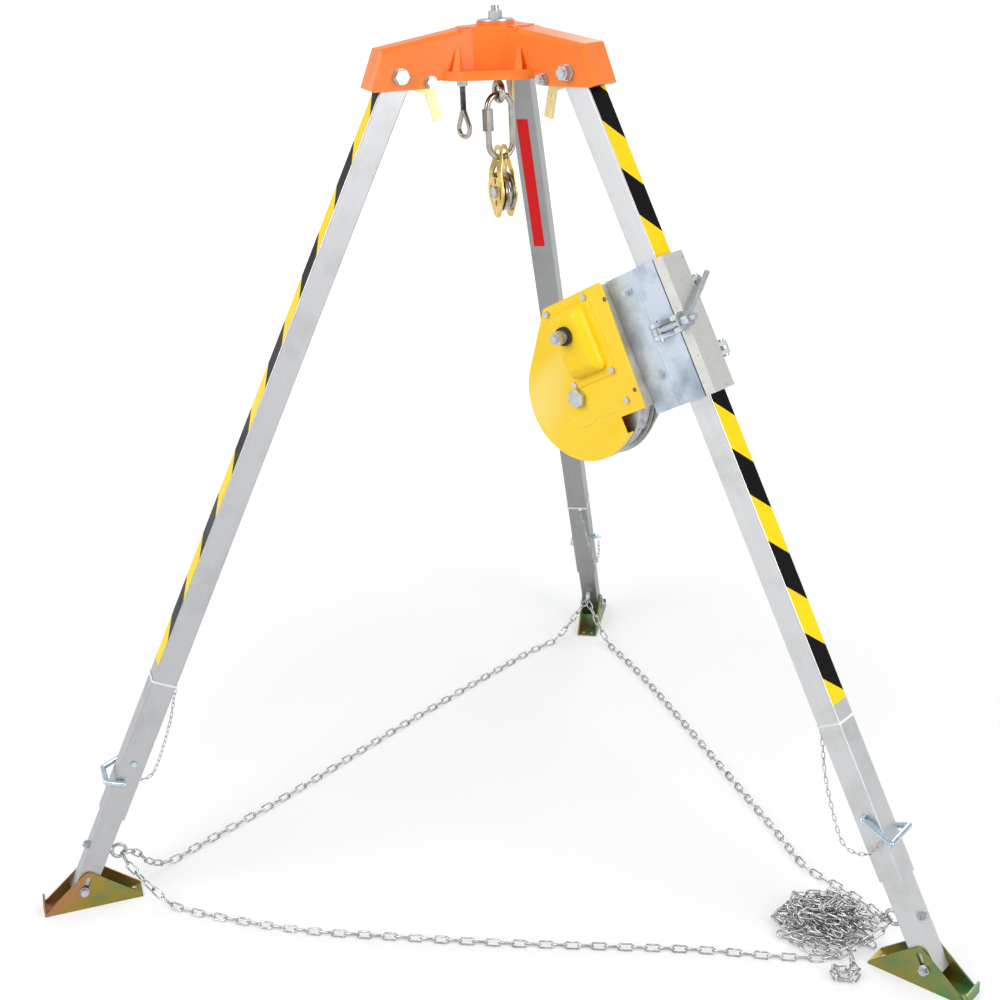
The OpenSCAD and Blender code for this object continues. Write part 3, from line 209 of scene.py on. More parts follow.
# %% Axes of the legs
leg_axes = {}
for leg in LEGS:
    across = joint_axis[leg + "_fold"]
    up = -joint_axis[leg + "_extend"]
    out = across.cross(up)
    turn = Matrix((out, across, up)).transposed().to_4x4()
    leg_axes[leg] = Matrix.Translation(joint_at[leg + "_fold"]) @ turn
    print(leg, "leg leans", round(math.degrees(up.angle(Vector((0, 0, 1)))), 1), "degrees")


def along_leg(tree, where, leg):
    """Object coordinates turned into the leg's own axes."""
    back = leg_axes[leg].inverted()
    turn, shift = back.to_euler("XYZ"), back.to_translation()
    return add(tree, "Mapping", Vector=where, Rotation=turn, Location=shift)


# %% [markdown]
# Two enamels: orange on the cast head and yellow on the winch covers. Both are a
# sprayed gloss paint. The spray leaves a faint orange-peel ripple of a few
# millimetres, and the colour drifts in broad patches. Sharp edges are painted paler:
# a painted highlight along the edges, which also stands for rubbed paint. A thin
# coat layer gives the sharp highlight over the softer colour.

# %% Enamels
enamel = {}
for name, drift_mm, colours, highlight_and_rub_colour in (
    ("orange_enamel_on_casting", 70, ("#fa8226", "#f27014"), "#ffab70"),
    ("yellow_enamel_on_steel", 55, ("#ffd91a", "#fdcd08"), "#ffe98c"),
):
    enamel[name], tree, shader, where = new_finish(name)
    drift = add(tree, "TexNoise", Vector=where, Scale=per(drift_mm), Detail=3.0)
    pair = [linear(c) for c in colours]
    colour = add(tree, "MixRGB", Fac=drift, Color1=pair[0], Color2=pair[1])
    # Sharp edges, found by their pointiness, are painted paler: a painted highlight, with rubbed paint too.
    point = add(tree, "NewGeometry").outputs["Pointiness"]
    edge = add(tree, "MapRange", Value=point, From_Min=0.53, From_Max=0.62, To_Max=0.6)
    highlit_and_rubbed = add(tree, "MixRGB", Fac=edge, Color1=colour, Color2=linear(highlight_and_rub_colour))
    peel = add(tree, "TexNoise", Vector=where, Scale=per(3), Detail=2.0)
    ripple = add(tree, "Bump", Height=peel, Strength=0.12, Distance=0.4 * MM)
    gloss = add(tree, "MapRange", Value=drift, To_Min=0.3, To_Max=0.42)
    fit(tree, shader, Base_Color=highlit_and_rubbed, Normal=ripple, Roughness=gloss)
    fit(tree, shader, Coat_Weight=0.12, Coat_Roughness=0.2, Specular_IOR_Level=0.35)
    print("made", name)
orange_enamel = enamel["orange_enamel_on_casting"]
yellow_enamel = enamel["yellow_enamel_on_steel"]

# %% [markdown]
# Mill-finish aluminium on the tubes: the die of the press draws fine straight lines
# along the tube. Noise that is 1.4 mm wide and half a metre long, in the leg's own
# axes, gives them. Real die lines are finer, but they are drawn as coarse as a render
# needs to show them. Faint grey smudges come from handling. Each leg has its own
# tones, and they are painted shade: the rear tube is painted darkest and the left one
# a little darker than the right.

# %% Mill-finish aluminium, one for each leg, toned with painted shade
tube_finish = {}
# The three tones of each leg are painted shade: rear darkest, left a little darker than right.
for leg, leg_tones_with_painted_shade in (
    ("left", ("#c3c4c6", "#b6b7b9", "#a3a4a4")),
    ("right", ("#d6d7d8", "#c9cacb", "#b2b3b2")),
    ("rear", ("#a6a7a7", "#999a9a", "#8b8c8b")),
):
    tube_finish[leg], tree, shader, where = new_finish("mill_finish_aluminium_painted_shade_" + leg)
    own = along_leg(tree, where, leg)
    stretched = add(tree, "Mapping", Vector=own, Scale=(per(1.4), per(1.4), per(500)))
    lines = add(tree, "TexNoise", Vector=stretched, Scale=1.0, Detail=2.0)
    smudge = add(tree, "TexNoise", Vector=own, Scale=per(90), Detail=4.0, Roughness=0.6)
    bare = add(tree, "MixRGB", Fac=lines, Color1=linear(leg_tones_with_painted_shade[0]), Color2=linear(leg_tones_with_painted_shade[1]))
    handled = add(tree, "MapRange", Value=smudge, From_Min=0.5, From_Max=0.75, To_Max=0.5)
    grey = add(tree, "MixRGB", Fac=handled, Color1=bare, Color2=linear(leg_tones_with_painted_shade[2]))
    dull = add(tree, "MapRange", Value=lines, To_Min=0.36, To_Max=0.5)
    groove = add(tree, "Bump", Height=lines, Strength=0.06, Distance=0.15 * MM)
    fit(tree, shader, Base_Color=grey, Roughness=dull, Normal=groove, Metallic=1.0)
print("made", len(tube_finish), "tube finishes")

# %% [markdown]
# Plated and bare steels that differ only in tone, cloud and gloss. Zinc plate is
# silver with a faint blue cast, cloudy where the plating bath ran uneven. Chain wire
# is barrel finished, so it is greyer, with darker clouds of dirt. The link, the eyes
# and the pulley wheel are polished, which mirrors the room sharply.
# The gear is greased brown. One loop makes them all from their own numbers: the size
# of the cloud, two colours, the range of gloss, how metallic and how pitted they are.

# %% Plated and bare steels
steel = {}
for name, cloud_mm, colours, gloss, metallic, pits in (
    ("bright_zinc_plate", 15, ("#ccd0d4", "#b0b6bc"), (0.34, 0.46), 1.0, 0.015),
    ("blue_passivated_pin_zinc", 16, ("#d3e3ec", "#aec4d2"), (0.16, 0.28), 1.0, 0.015),
    ("warm_passivated_frame_zinc", 30, ("#e4ddca", "#cdc6b6"), (0.36, 0.5), 0.7, 0.04),
    ("zinc_plated_chain_steel", 12, ("#dcdddb", "#9c9d9a"), (0.18, 0.34), 1.0, 0.03),
    ("polished_steel", 20, ("#bdb7af", "#9d968d"), (0.12, 0.22), 1.0, 0.0),
    # This dark steel is also used for the painted shade inside the gear cover's holes.
    ("dark_threaded_steel", 5, ("#8d8683", "#5f5a58"), (0.3, 0.45), 1.0, 0.04),
    ("greased_gear_steel", 7, ("#9a5530", "#5d2f1c"), (0.35, 0.6), 0.6, 0.06),
    ("galvanised_strand_wire", 9, ("#cfd1d2", "#a0a2a4"), (0.28, 0.42), 1.0, 0.02),
):
    steel[name], tree, shader, where = new_finish(name)
    cloud = add(tree, "TexNoise", Vector=where, Scale=per(cloud_mm), Detail=4.0, Roughness=0.6)
    share = add(tree, "MapRange", Value=cloud, From_Min=0.32, From_Max=0.68)
    colour = add(tree, "MixRGB", Fac=share, Color1=linear(colours[0]), Color2=linear(colours[1]))
    dull = add(tree, "MapRange", Value=cloud, To_Min=gloss[0], To_Max=gloss[1])
    pitted = add(tree, "TexNoise", Vector=where, Scale=per(0.9), Detail=1.0)
    grain = add(tree, "Bump", Height=pitted, Strength=pits, Distance=0.1 * MM)
    fit(tree, shader, Base_Color=colour, Roughness=dull, Normal=grain, Metallic=metallic)
zinc_plate = steel["bright_zinc_plate"]
chain_steel = steel["zinc_plated_chain_steel"]
polished_steel = steel["polished_steel"]
strand_wire = steel["galvanised_strand_wire"]
print("made", len(steel), "steels")

# %% [markdown]
# Yellow chromate on the latches and the pulley: zinc dipped to a gold film, with soft
# clouds where the film is thinner. The latches had a short dip and are cream, the
# pulley a longer one and is brassy with rosy patches.

# %% Light yellow chromates
chromate = {}
for name, thin, thick, rosy, metallic in (
    ("short_dip_yellow_chromate", "#efe2a6", "#e2cd86", "#e8d2a8", 0.6),
    ("long_dip_yellow_chromate", "#ead488", "#d3b04a", "#dcb484", 0.85),
):
    chromate[name], tree, shader, where = new_finish(name)
    cloud = add(tree, "TexNoise", Vector=where, Scale=per(22), Detail=3.0, Distortion=0.8)
    other = add(tree, "TexNoise", Vector=where, Scale=per(38), Detail=2.0, Distortion=1.2)
    share = add(tree, "MapRange", Value=cloud, From_Min=0.35, From_Max=0.65)
    blush = add(tree, "MapRange", Value=other, From_Min=0.5, From_Max=0.68, To_Max=0.7)
    gold = add(tree, "MixRGB", Fac=share, Color1=linear(thin), Color2=linear(thick))
    colour = add(tree, "MixRGB", Fac=blush, Color1=gold, Color2=linear(rosy))
    dull = add(tree, "MapRange", Value=cloud, To_Min=0.26, To_Max=0.42)
    fit(tree, shader, Base_Color=colour, Roughness=dull, Metallic=metallic)
    print("made", name)

# %% [markdown]
# The feet carry a heavier chromate film, and its thickness drifts over the plate, so
# the light that it throws back runs through rosy brown, gold, olive and green. One
# ramp holds that order of colours. The place along the foot, bent by large clouds,
# chooses the place on the ramp, and each foot hung differently in the bath.

# %% Heavy chromate, one for each foot
FILM = ("#a87a62", "#b0804a", "#9c8a3c", "#86894a", "#5f8856", "#7a8c56", "#aa8a64")
foot_finish = {}
for leg, start, reach in (("left", 0.26, -1.7), ("right", 0.52, 1.4), ("rear", 0.6, 1.0)):
    foot_finish[leg], tree, shader, where = new_finish("heavy_yellow_chromate_zinc_" + leg)
    own = add(tree, "SeparateXYZ", Vector=along_leg(tree, where, leg)).outputs
    cloud = add(tree, "TexNoise", Vector=where, Scale=per(80), Detail=3.0, Distortion=0.6)
    bent = add(tree, "MapRange", Value=cloud, From_Min=0.3, From_Max=0.7, To_Min=-0.22, To_Max=0.22)
    film = add(tree, "Math", own["X"], reach, start, operation="MULTIPLY_ADD")
    ramp = add(tree, "ValToRGB", Fac=add(tree, "Math", film, bent, operation="ADD"))
    stops = ramp.color_ramp.elements
    for k in range(1, len(FILM) - 1):
        stops.new(k / (len(FILM) - 1))
    for stop, code in zip(stops, FILM):
        stop.color = linear(code)
    dull = add(tree, "MapRange", Value=cloud, To_Min=0.28, To_Max=0.44)
    fit(tree, shader, Base_Color=ramp, Roughness=dull, Metallic=0.75)
print("made", len(foot_finish), "foot finishes")

# %% [markdown]
# The clamp has two halves. The one that carries the winch is thick steel plate,
# zinc plated and blue, with dark clouds. The gate is sand-cast aluminium, grey and
# dull, with small pits left by the sand. The pits are a noise cut at a high level.

# %% Clamp finishes
blue_plate, tree, shader, where = new_finish("blue_zinc_plated_clamp_steel")
own = along_leg(tree, where, "right")
cloud = add(tree, "TexNoise", Vector=own, Scale=per(62), Detail=4.0, Roughness=0.55)
share = add(tree, "MapRange", Value=cloud, From_Min=0.3, From_Max=0.56)
colour = add(tree, "MixRGB", Fac=share, Color1=linear("#93a0b0"), Color2=linear("#c6d0dc"))
dull = add(tree, "MapRange", Value=cloud, To_Min=0.4, To_Max=0.56)
fit(tree, shader, Base_Color=colour, Roughness=dull, Metallic=0.85)

cast_gate, tree, shader, where = new_finish("sand_cast_aluminium")
own = along_leg(tree, where, "right")
cloud = add(tree, "TexNoise", Vector=own, Scale=per(26), Detail=4.0)
colour = add(tree, "MixRGB", Fac=cloud, Color1=linear("#dfded9"), Color2=linear("#c6c5c1"))
sand = add(tree, "TexNoise", Vector=own, Scale=per(7), Detail=2.0)
pit = add(tree, "MapRange", Value=sand, From_Min=0.68, From_Max=0.74)
dark = add(tree, "MixRGB", Fac=pit, Color1=colour, Color2=linear("#93928e"))
sunk = add(tree, "Bump", Height=pit, Strength=0.5, Distance=0.5 * MM, invert=True)
dull = add(tree, "MapRange", Value=cloud, To_Min=0.42, To_Max=0.58)
fit(tree, shader, Base_Color=dark, Normal=sunk, Roughness=dull, Metallic=0.9)
print("made", blue_plate.name, cast_gate.name)

# %% [markdown]
# Two moulded finishes: black rubber for the shaft seal, with a fine grain, and white
# nylon for the cable ties, which lets a little light in.

# %% Rubber and nylon
seal_rubber, tree, shader, where = new_finish("moulded_black_rubber")
grain = add(tree, "TexNoise", Vector=where, Scale=per(0.8), Detail=2.0)
colour = add(tree, "MixRGB", Fac=grain, Color1=linear("#1b1b1c"), Color2=linear("#2a2a2b"))
bump = add(tree, "Bump", Height=grain, Strength=0.2, Distance=0.1 * MM)
fit(tree, shader, Base_Color=colour, Normal=bump, Roughness=0.6)

tie_nylon, tree, shader, where = new_finish("moulded_white_nylon")
grain = add(tree, "TexNoise", Vector=where, Scale=per(4), Detail=2.0)
colour = add(tree, "MixRGB", Fac=grain, Color1=linear("#f4f4f2"), Color2=linear("#e9e9e6"))
fit(tree, shader, Base_Color=colour, Roughness=0.4, Subsurface_Weight=0.1)
print("made", seal_rubber.name, tie_nylon.name)

# %% [markdown]
# Now each working part takes its finish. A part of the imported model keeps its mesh:
# only the material in its slot changes.

# %% Finishes of the working parts
finish_of = {
    "head_casting": orange_enamel,
    "gear_cover": yellow_enamel,
    "brake_cover": yellow_enamel,
    "winch_frame": steel["warm_passivated_frame_zinc"],
    "drum_gear": steel["greased_gear_steel"],
    "shaft_seal": seal_rubber,
    "winch_bracket": blue_plate,
    "clamp_gate": cast_gate,
    "pulley_cheeks": chromate["long_dip_yellow_chromate"],
    "wire_rope": strand_wire,
    "chain_pile": chain_steel,
    "anchor_bolt": polished_steel,
    "quick_link": polished_steel,
    "link_sleeve": polished_steel,
    "sheave": polished_steel,
}
for leg in LEGS:
    finish_of[leg + "_outer_tube"] = tube_finish[leg]
    finish_of[leg + "_inner_tube"] = tube_finish[leg]
    finish_of[leg + "_latch"] = chromate["short_dip_yellow_chromate"]
    finish_of[leg + "_foot"] = foot_finish[leg]
    finish_of[leg + "_cable_tie"] = tie_nylon
    finish_of[leg + "_tether"] = chain_steel
    finish_of[leg + "_lock_pin"] = steel["blue_passivated_pin_zinc"]
for run in ("front", "left", "right"):
    finish_of[run + "_base_chain"] = chain_steel
for name, part in frame["nodes"].items():
    part.data.materials.clear()
    part.data.materials.append(finish_of.get(name, zinc_plate))
print("finished", len(frame["nodes"]), "working parts")

# %% [markdown]
# A casting, a folded plate or a bolt head never has a knife edge. A copy of the
# part is merged back into whole faces and gets a small Bevel on its sharp edges,
# which catches the light as the real edge does. Normals weighted by area keep the
# large faces flat. The copy rides on the same body and stands for the part, so the
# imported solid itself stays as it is.

# %% Helpers for new pieces
def place_piece(name, mesh, finish, body, stands_for=None):
    """Turns a bmesh into a smooth piece that rides on a body."""
    for face in mesh.faces:
        face.smooth = True
    data = bpy.data.meshes.new(name)
    mesh.to_mesh(data)
    mesh.free()
    data.materials.append(finish)
    piece = bpy.data.objects.new(name, data)
    bpy.context.scene.collection.objects.link(piece)
    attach(piece, body)
    if stands_for:
        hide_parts(stands_for)
    return piece


def merged_copy(name):
    mesh = bmesh.new()
    mesh.from_mesh(frame["nodes"][name].data)
    bmesh.ops.remove_doubles(mesh, verts=mesh.verts, dist=2e-6)
    bmesh.ops.dissolve_limit(mesh, angle_limit=math.radians(1), verts=mesh.verts, edges=mesh.edges)
    return mesh


def rounded(name, width_mm, mesh=None, from_degrees=30):
    mesh = mesh or merged_copy(name)
    finish = finish_of.get(name, zinc_plate)
    piece = place_piece(name + "_rounded", mesh, finish, body_of[name], name)
    bevel = piece.modifiers.new("edge", "BEVEL")
    bevel.width = width_mm * MM
    bevel.segments = 2
    bevel.limit_method = "ANGLE"
    bevel.angle_limit = math.radians(from_degrees)
    even = piece.modifiers.new("even_faces", "WEIGHTED_NORMAL")
    even.weight = 100


# %% Rounded copies of the parts with visible edges
edge_width = {
    "gear_cover": 1.2,
    "winch_frame": 0.6,
    "winch_bracket": 1.2,
    "clamp_gate": 1.0,
    "clamp_lever": 0.5,
    "anchor_nut": 0.6,
    "side_eye_nuts": 0.5,
    "leg_pivot_bolts": 0.6,
    "latch_bolts": 0.5,
    "bracket_bolts": 0.5,
    "cover_screws": 0.4,
    "link_sleeve": 0.5,
}
for leg in LEGS:
    edge_width[leg + "_foot"] = 0.7
    edge_width[leg + "_foot_bolt"] = 0.4
    edge_width[leg + "_cable_tie"] = 0.3
SLIGHT_BENDS = {"gear_cover", "winch_bracket", "clamp_gate"}
for name, width in edge_width.items():
    rounded(name, width, from_degrees=12 if name in SLIGHT_BENDS else 30)
print("rounded copies:", len(edge_width))

# %% [markdown]
# The head is cast with flat walls between its arms, and the flange below them is
# straight in its middle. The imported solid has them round, so the points of the round
# walls are slid in each of the three gaps: a wall's points go on to a flat, and the
# ones that lie on an arm's side go along that side. Gussets get a wider foot.

# %% Flat walls between the arms of the head
ARM_HALF = 34 * MM
HUB, INNER, RIM = 76 * MM, 64 * MM, 112 * MM
HUB_FLAT, INNER_FLAT, RIM_FLAT = 58 * MM, 49 * MM, 103 * MM
RIM_END, RIM_END_HALF, RIM_STRAIGHT = 89 * MM, 86 * MM, 50 * MM
GUSSET, GUSSET_HALF, FLANGE_TOP = 58 * MM, 3 * MM, 4 * MM
GUSSET_SPREAD = 4 * MM
NEAR = 0.5 * MM
head_axis = joint_at["link_swing"].xy
pivot_height = joint_at["rear_fold"].z
head = merged_copy("head_casting")
slope = math.radians(60)
gap_limit = math.tan(math.radians(44))


def meets_arm(radius):
    """How far to the side a round wall of this radius runs into an arm."""
    return radius * math.sin(slope - math.asin(ARM_HALF / radius))


def arm_side_at(along):
    return (along * math.sin(slope) - ARM_HALF) / math.cos(slope)


for leg in LEGS:
    gap = -(joint_at[leg + "_fold"].xy - head_axis).normalized()
    beside_gap = Vector((-gap.y, gap.x))
    for vert in head.verts:
        flat = vert.co.xy - head_axis
        along, beside = flat.dot(gap), flat.dot(beside_gap)
        if along < 0 or abs(beside) > along * gap_limit:
            continue
        if abs(flat.length - HUB) < NEAR and abs(beside) < meets_arm(HUB) + NEAR:
            along, beside = HUB_FLAT, beside * arm_side_at(HUB_FLAT) / meets_arm(HUB)
        elif abs(flat.length - INNER) < NEAR and along > INNER_FLAT:
            along = INNER_FLAT
        elif abs(flat.length - RIM) < NEAR and abs(beside) < meets_arm(RIM) + NEAR:
            beside *= RIM_END_HALF / meets_arm(RIM)
            fall = max(0.0, (abs(beside) - RIM_STRAIGHT) / (RIM_END_HALF - RIM_STRAIGHT))
            along = RIM_FLAT - (RIM_FLAT - RIM_END) * fall
        elif abs(abs(abs(beside) - GUSSET) - GUSSET_HALF) < NEAR:
            if abs(vert.co.z - pivot_height - FLANGE_TOP) < NEAR:
                wider = math.copysign(GUSSET_SPREAD, abs(beside) - GUSSET)
                beside += math.copysign(1, beside) * wider
        vert.co.xy = head_axis + gap * along + beside_gap * beside
rounded("head_casting", 2.2, head)
print("head walls made flat")

# %% [markdown]
# A latch is a square-ended tab of strip that hangs at a slant from its bolt, with a
# nose under the leg and a small hole. Its outline is filled between the outer loop and
# the two holes, then drawn out to the thickness of the strip.

# %% Latches
LATCH_THICK = 5 * MM
tab_end = ((-27.8, -70.4), (-8.4, -75.2), (4.4, -23.7))
nose = ((20, -19), (27, -16), (27, -11), (24, -9))
eye_end = ((10, 8), (0, 12.5), (-9, 9), (-12.5, 0), (-11.6, -5.4))
latch_outline = tab_end + nose + eye_end
latch_holes = ((0, 0, 6.3), (-6, -33, 3))
HOLE_STEPS = 16
for leg in LEGS:
    across = leg_axes[leg].to_3x3().col[1]
    out = across.cross(Vector((0, 0, 1)))
    plane = Matrix((out, Vector((0, 0, 1)), -across)).transposed().to_4x4()
    tab = bmesh.new()
    loops = [latch_outline]
    for x, z, r in latch_holes:
        turns = [2 * math.pi * k / HOLE_STEPS for k in range(HOLE_STEPS)]
        loops.append([(x + r * math.cos(a), z + r * math.sin(a)) for a in turns])
    for loop in loops:
        corners = [tab.verts.new((x * MM, z * MM, -LATCH_THICK / 2)) for x, z in loop]
        for one, two in zip(corners, corners[1:] + corners[:1]):
            tab.edges.new((one, two))
    bmesh.ops.triangle_fill(tab, use_beauty=True, use_dissolve=False, edges=tab.edges[:])
    grown = bmesh.ops.extrude_face_region(tab, geom=tab.faces[:])["geom"]
    raised = [v for v in grown if isinstance(v, bmesh.types.BMVert)]
    bmesh.ops.translate(tab, vec=(0, 0, LATCH_THICK), verts=raised)
    bmesh.ops.recalc_face_normals(tab, faces=tab.faces)
    bolt = Matrix.Translation(joint_at[leg + "_latch_swing"])
    bmesh.ops.transform(tab, matrix=bolt @ plane, verts=tab.verts)
    rounded(leg + "_latch", 0.5, tab)
print("latches:", len(LEGS))

# %% [markdown]
# The pulley's cheeks are pressed towards each other above the wheel, so that they
# close round the link. The copy is cut across at several heights, so that it can bend,
# and points are drawn in from half way up, smoothly, to half the gap at the top. The
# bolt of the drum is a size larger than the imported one.

# %% Pressed pulley cheeks and drum bolt
cheeks = merged_copy("pulley_cheeks")
wheel = joint_at["sheave_spin"]
wheel_axis = joint_axis["sheave_spin"].normalized()
hang = joint_at["pulley_swing"] - wheel
PRESS_FROM, PRESS_SHARE = 0.5, 0.5
for share in (0.52, 0.61, 0.7, 0.79, 0.88, 0.97):
    bmesh.ops.bisect_plane(
        cheeks,
        geom=cheeks.verts[:] + cheeks.edges[:] + cheeks.faces[:],
        plane_co=wheel + hang * share,
        plane_no=hang.normalized(),
    )
for vert in cheeks.verts:
    height = (vert.co - wheel).dot(hang) / hang.length_squared
    press = min(1.0, max(0.0, (height - PRESS_FROM) / (1 - PRESS_FROM)))
    inward = PRESS_SHARE * press * press * (3 - 2 * press)
    vert.co -= wheel_axis * (vert.co - wheel).dot(wheel_axis) * inward
rounded("pulley_cheeks", 0.4, cheeks)

BOLT_GROWTH = 1.25
bolt_head = merged_copy("drum_bolt")
drum_middle = joint_at["drum_spin"]
drum_axis = joint_axis["drum_spin"].normalized()
for vert in bolt_head.verts:
    away = vert.co - drum_middle
    away -= drum_axis * away.dot(drum_axis)
    vert.co += away * (BOLT_GROWTH - 1)
rounded("drum_bolt", 0.9, bolt_head)
print("cheeks pressed, drum bolt grown")

# %% [markdown]
# The brake cover is deep drawn from sheet, so its dome has large soft radii and not
# a machined edge. The edges round its crown, clear of the shaft's seat, are bevelled
# by a large radius in many steps before the small bevel goes over the rest.

# %% Drawn dome of the brake cover
dome = merged_copy("brake_cover")
to_leg = leg_axes["right"].inverted()
crown = min((to_leg @ v.co).y for v in dome.verts)
DOME_ROUND = 13 * MM
SEAT = 20 * MM
shaft_line = to_leg @ joint_at["drive_spin"]


def on_crown(edge):
    ends = [to_leg @ v.co for v in edge.verts]
    flat = all(abs(p.y - crown) < 0.1 * MM for p in ends)
    clear = all((p - shaft_line).xz.length > SEAT for p in ends)
    sharp = len(edge.link_faces) == 2 and edge.calc_face_angle() > math.radians(20)
    return flat and clear and sharp


soft_edges = [e for e in dome.edges if on_crown(e)]
bmesh.ops.bevel(
    dome,
    geom=soft_edges,
    offset=DOME_ROUND,
    segments=6,
    profile=0.5,
    material=-1,
    affect="EDGES",
)
rounded("brake_cover", 1.2, dome)
print("dome edges rounded:", len(soft_edges))

# %% [markdown]
# Chain links are the same small shape hundreds of times, so the shape is kept to a
# few dozen faces: a ring of round wire, spun in ten steps, whose halves are then
# drawn apart to make the straight sides. Where each link lies is measured on the
# packed chain. Its triangles are sorted into separate links by passing the lowest
# number round each shell until nothing changes, and the three main directions of a
# link's points are its length, its width and the thickness of its wire.

# %% Measure the links of a packed chain
def links_in(name):
    joined = bmesh.new()
    joined.from_mesh(frame["nodes"][name].data)
    bmesh.ops.remove_doubles(joined, verts=joined.verts, dist=0.05 * MM)
    points = np.array([v.co for v in joined.verts])
    faces = np.array([[v.index for v in f.verts] for f in joined.faces])
    joined.free()
    label = np.arange(len(points))
    while True:
        before = label.copy()
        lowest = label[faces].min(axis=1)
        for k in range(3):
            np.minimum.at(label, faces[:, k], lowest)
        label = label[label]
        if (label == before).all():
            break
    return [points[label == s] for s in np.unique(label)]


def frame_of(points):
    """Middle, directions and size of one link, longest first."""
    spread = points - points.mean(axis=0)
    axes = np.linalg.eigh(spread.T @ spread)[1][:, ::-1]
    own = spread @ axes
    low, high = own.min(axis=0), own.max(axis=0)
    middle = points.mean(axis=0) + axes @ ((low + high) / 2)
    return Vector(middle), [Vector(a) for a in axes.T], high - low


WHOLE_LINK = 0.7


def join_bends(shells):
    """Joins a bend that was packed as a shell of its own to the link that it closes."""
    framed = [frame_of(points) for points in shells]
    longest = max(size[0] for _, _, size in framed)
    joined = {k: [shells[k]] for k, (_, _, size) in enumerate(framed) if size[0] > WHOLE_LINK * longest}
    for k, (middle, _, size) in enumerate(framed):
        if k in joined:
            continue
        miss = {}
        for j in joined:
            other, axes, reach = framed[j]
            gap = axes[0] * (reach[0] + size[1]) / 2
            miss[j] = min((middle - other - gap).length, (middle - other + gap).length)
        joined[min(miss, key=miss.get)].append(shells[k])
    return [np.vstack(parts) for parts in joined.values()]


# %% Make and lay links
def link_shape(length, width, wire, steps, sides):
    """One closed link in the XY plane, its length along X."""
    link = bmesh.new()
    bow = (width - wire) / 2
    start = Matrix.Translation((bow, 0, 0)) @ Matrix.Rotation(math.pi / 2, 4, "X")
    bmesh.ops.create_circle(link, segments=sides, radius=wire / 2, matrix=start)
    bmesh.ops.spin(
        link,
        geom=link.edges[:] + link.verts[:],
        cent=(0, 0, 0),
        axis=(0, 0, 1),
        angle=2 * math.pi,
        steps=steps,
        use_merge=True,
    )
    bmesh.ops.remove_doubles(link, verts=link.verts, dist=wire / 50)
    half_step = Matrix.Rotation(math.pi / 2 + math.pi / steps, 4, "Z")
    bmesh.ops.transform(link, matrix=half_step, verts=link.verts)
    for vert in link.verts:
        vert.co.x += math.copysign((length - width) / 2, vert.co.x)
    bmesh.ops.recalc_face_normals(link, faces=link.faces)
    shape = bpy.data.meshes.new("link")
    link.to_mesh(shape)
    link.free()
    return shape


def lay_links(name, shape, places, stands_for):
    laid = bmesh.new()
    for place in places:
        one = shape.copy()
        one.transform(place)
        laid.from_mesh(one)
        bpy.data.meshes.remove(one)
    piece = place_piece(name, laid, chain_steel, body_of[stands_for], stands_for)
    print(name, len(places), "links")


def turned(middle, along, beside):
    """Places a link: its length along one direction, its width along another."""
    flat = along.cross(beside)
    return Matrix.Translation(middle) @ Matrix((along, beside, flat)).transposed().to_4x4()


# %% Lay the base chains and the tethers
runs = ["front_base_chain", "left_base_chain", "right_base_chain"]
for name in runs + [leg + "_tether" for leg in LEGS]:
    framed = [frame_of(points) for points in join_bends(links_in(name))]
    length, width, wire = np.median([size for _, _, size in framed], axis=0)
    fine = (10, 5) if name in runs else (8, 4)
    shape = link_shape(length, width, wire, *fine)
    lay_links(name + "_links", shape, [turned(m, a[0], a[1]) for m, a, _ in framed], name)
    if name in runs:
        base_link = shape

# %% [markdown]
# The spare chain lies in a heap beside the right foot. It is one chain, thrown down
# in rows that run to and fro, layer on layer, each layer smaller and turned against
# the one below. The rows waver by a seeded random amount. Links are then laid along
# the line at their own pitch, rolled by turns to the left and the right as the links
# of a slack chain are. A last short run goes under the front chain to a small loop.

# %% Heap of spare chain
heap_low, heap_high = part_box("chain_pile")
heap_shift = Vector((4 * MM, -4 * MM, 0))
heap_middle = (Vector(heap_low) + Vector(heap_high)) / 2 + heap_shift
HEAP_LONG, HEAP_WIDE = 116 * MM, 96 * MM
ROW = 15.5 * MM
ROW_STEP = 9 * MM
LAYER_RISE = 11.5 * MM
FIRST_RISE = 8.4 * MM
WAVER, WAVER_WAVE = 5.5 * MM, 24 * MM
LIFT, LIFT_WAVE = 2.5 * MM, 17 * MM
dice = random.Random(11)
line = []
layers = ((1.0, -19), (0.9, 14), (0.76, -48), (0.58, -10), (0.36, 35))
for layer, (share, degrees) in enumerate(layers):
    turn = Matrix.Rotation(math.radians(degrees), 3, "Z")
    wide = HEAP_WIDE * share - ROW / 2
    rows = round(2 * wide / ROW)
    for row in range(rows + 1):
        side = -wide + 2 * wide * row / rows
        half = HEAP_LONG * share * math.sqrt(max(0.0, 1 - (side / (wide + ROW / 2)) ** 2))
        half *= dice.uniform(0.86, 1.0)
        count = max(1, round(2 * half / ROW_STEP))
        sway = dice.uniform(0, 6.28)
        for k in range(count + 1):
            run = half * (1 - 2 * k / count) * (1 if row % 2 else -1)
            waver = WAVER * math.sin(run / WAVER_WAVE + sway)
            lift = LIFT * (1 + math.sin(run / LIFT_WAVE + 2 * sway)) * (layer > 0)
            spot = turn @ Vector((run, side + waver, 0))
            height = FIRST_RISE + LAYER_RISE * layer + lift
            line.append(Vector((heap_middle.x, heap_middle.y, height)) + spot)
floor_point = Vector((heap_middle.x, heap_middle.y, FIRST_RISE))
loop_middle = floor_point + Vector((36 * MM, -152 * MM, 0))
LOOP_LONG, LOOP_WIDE, LOOP_RISE = 27 * MM, 20 * MM, 11 * MM
LOOP_FROM, LOOP_STEP = 60, 25
tail = [floor_point + Vector((50 * MM, -92 * MM, 0))]
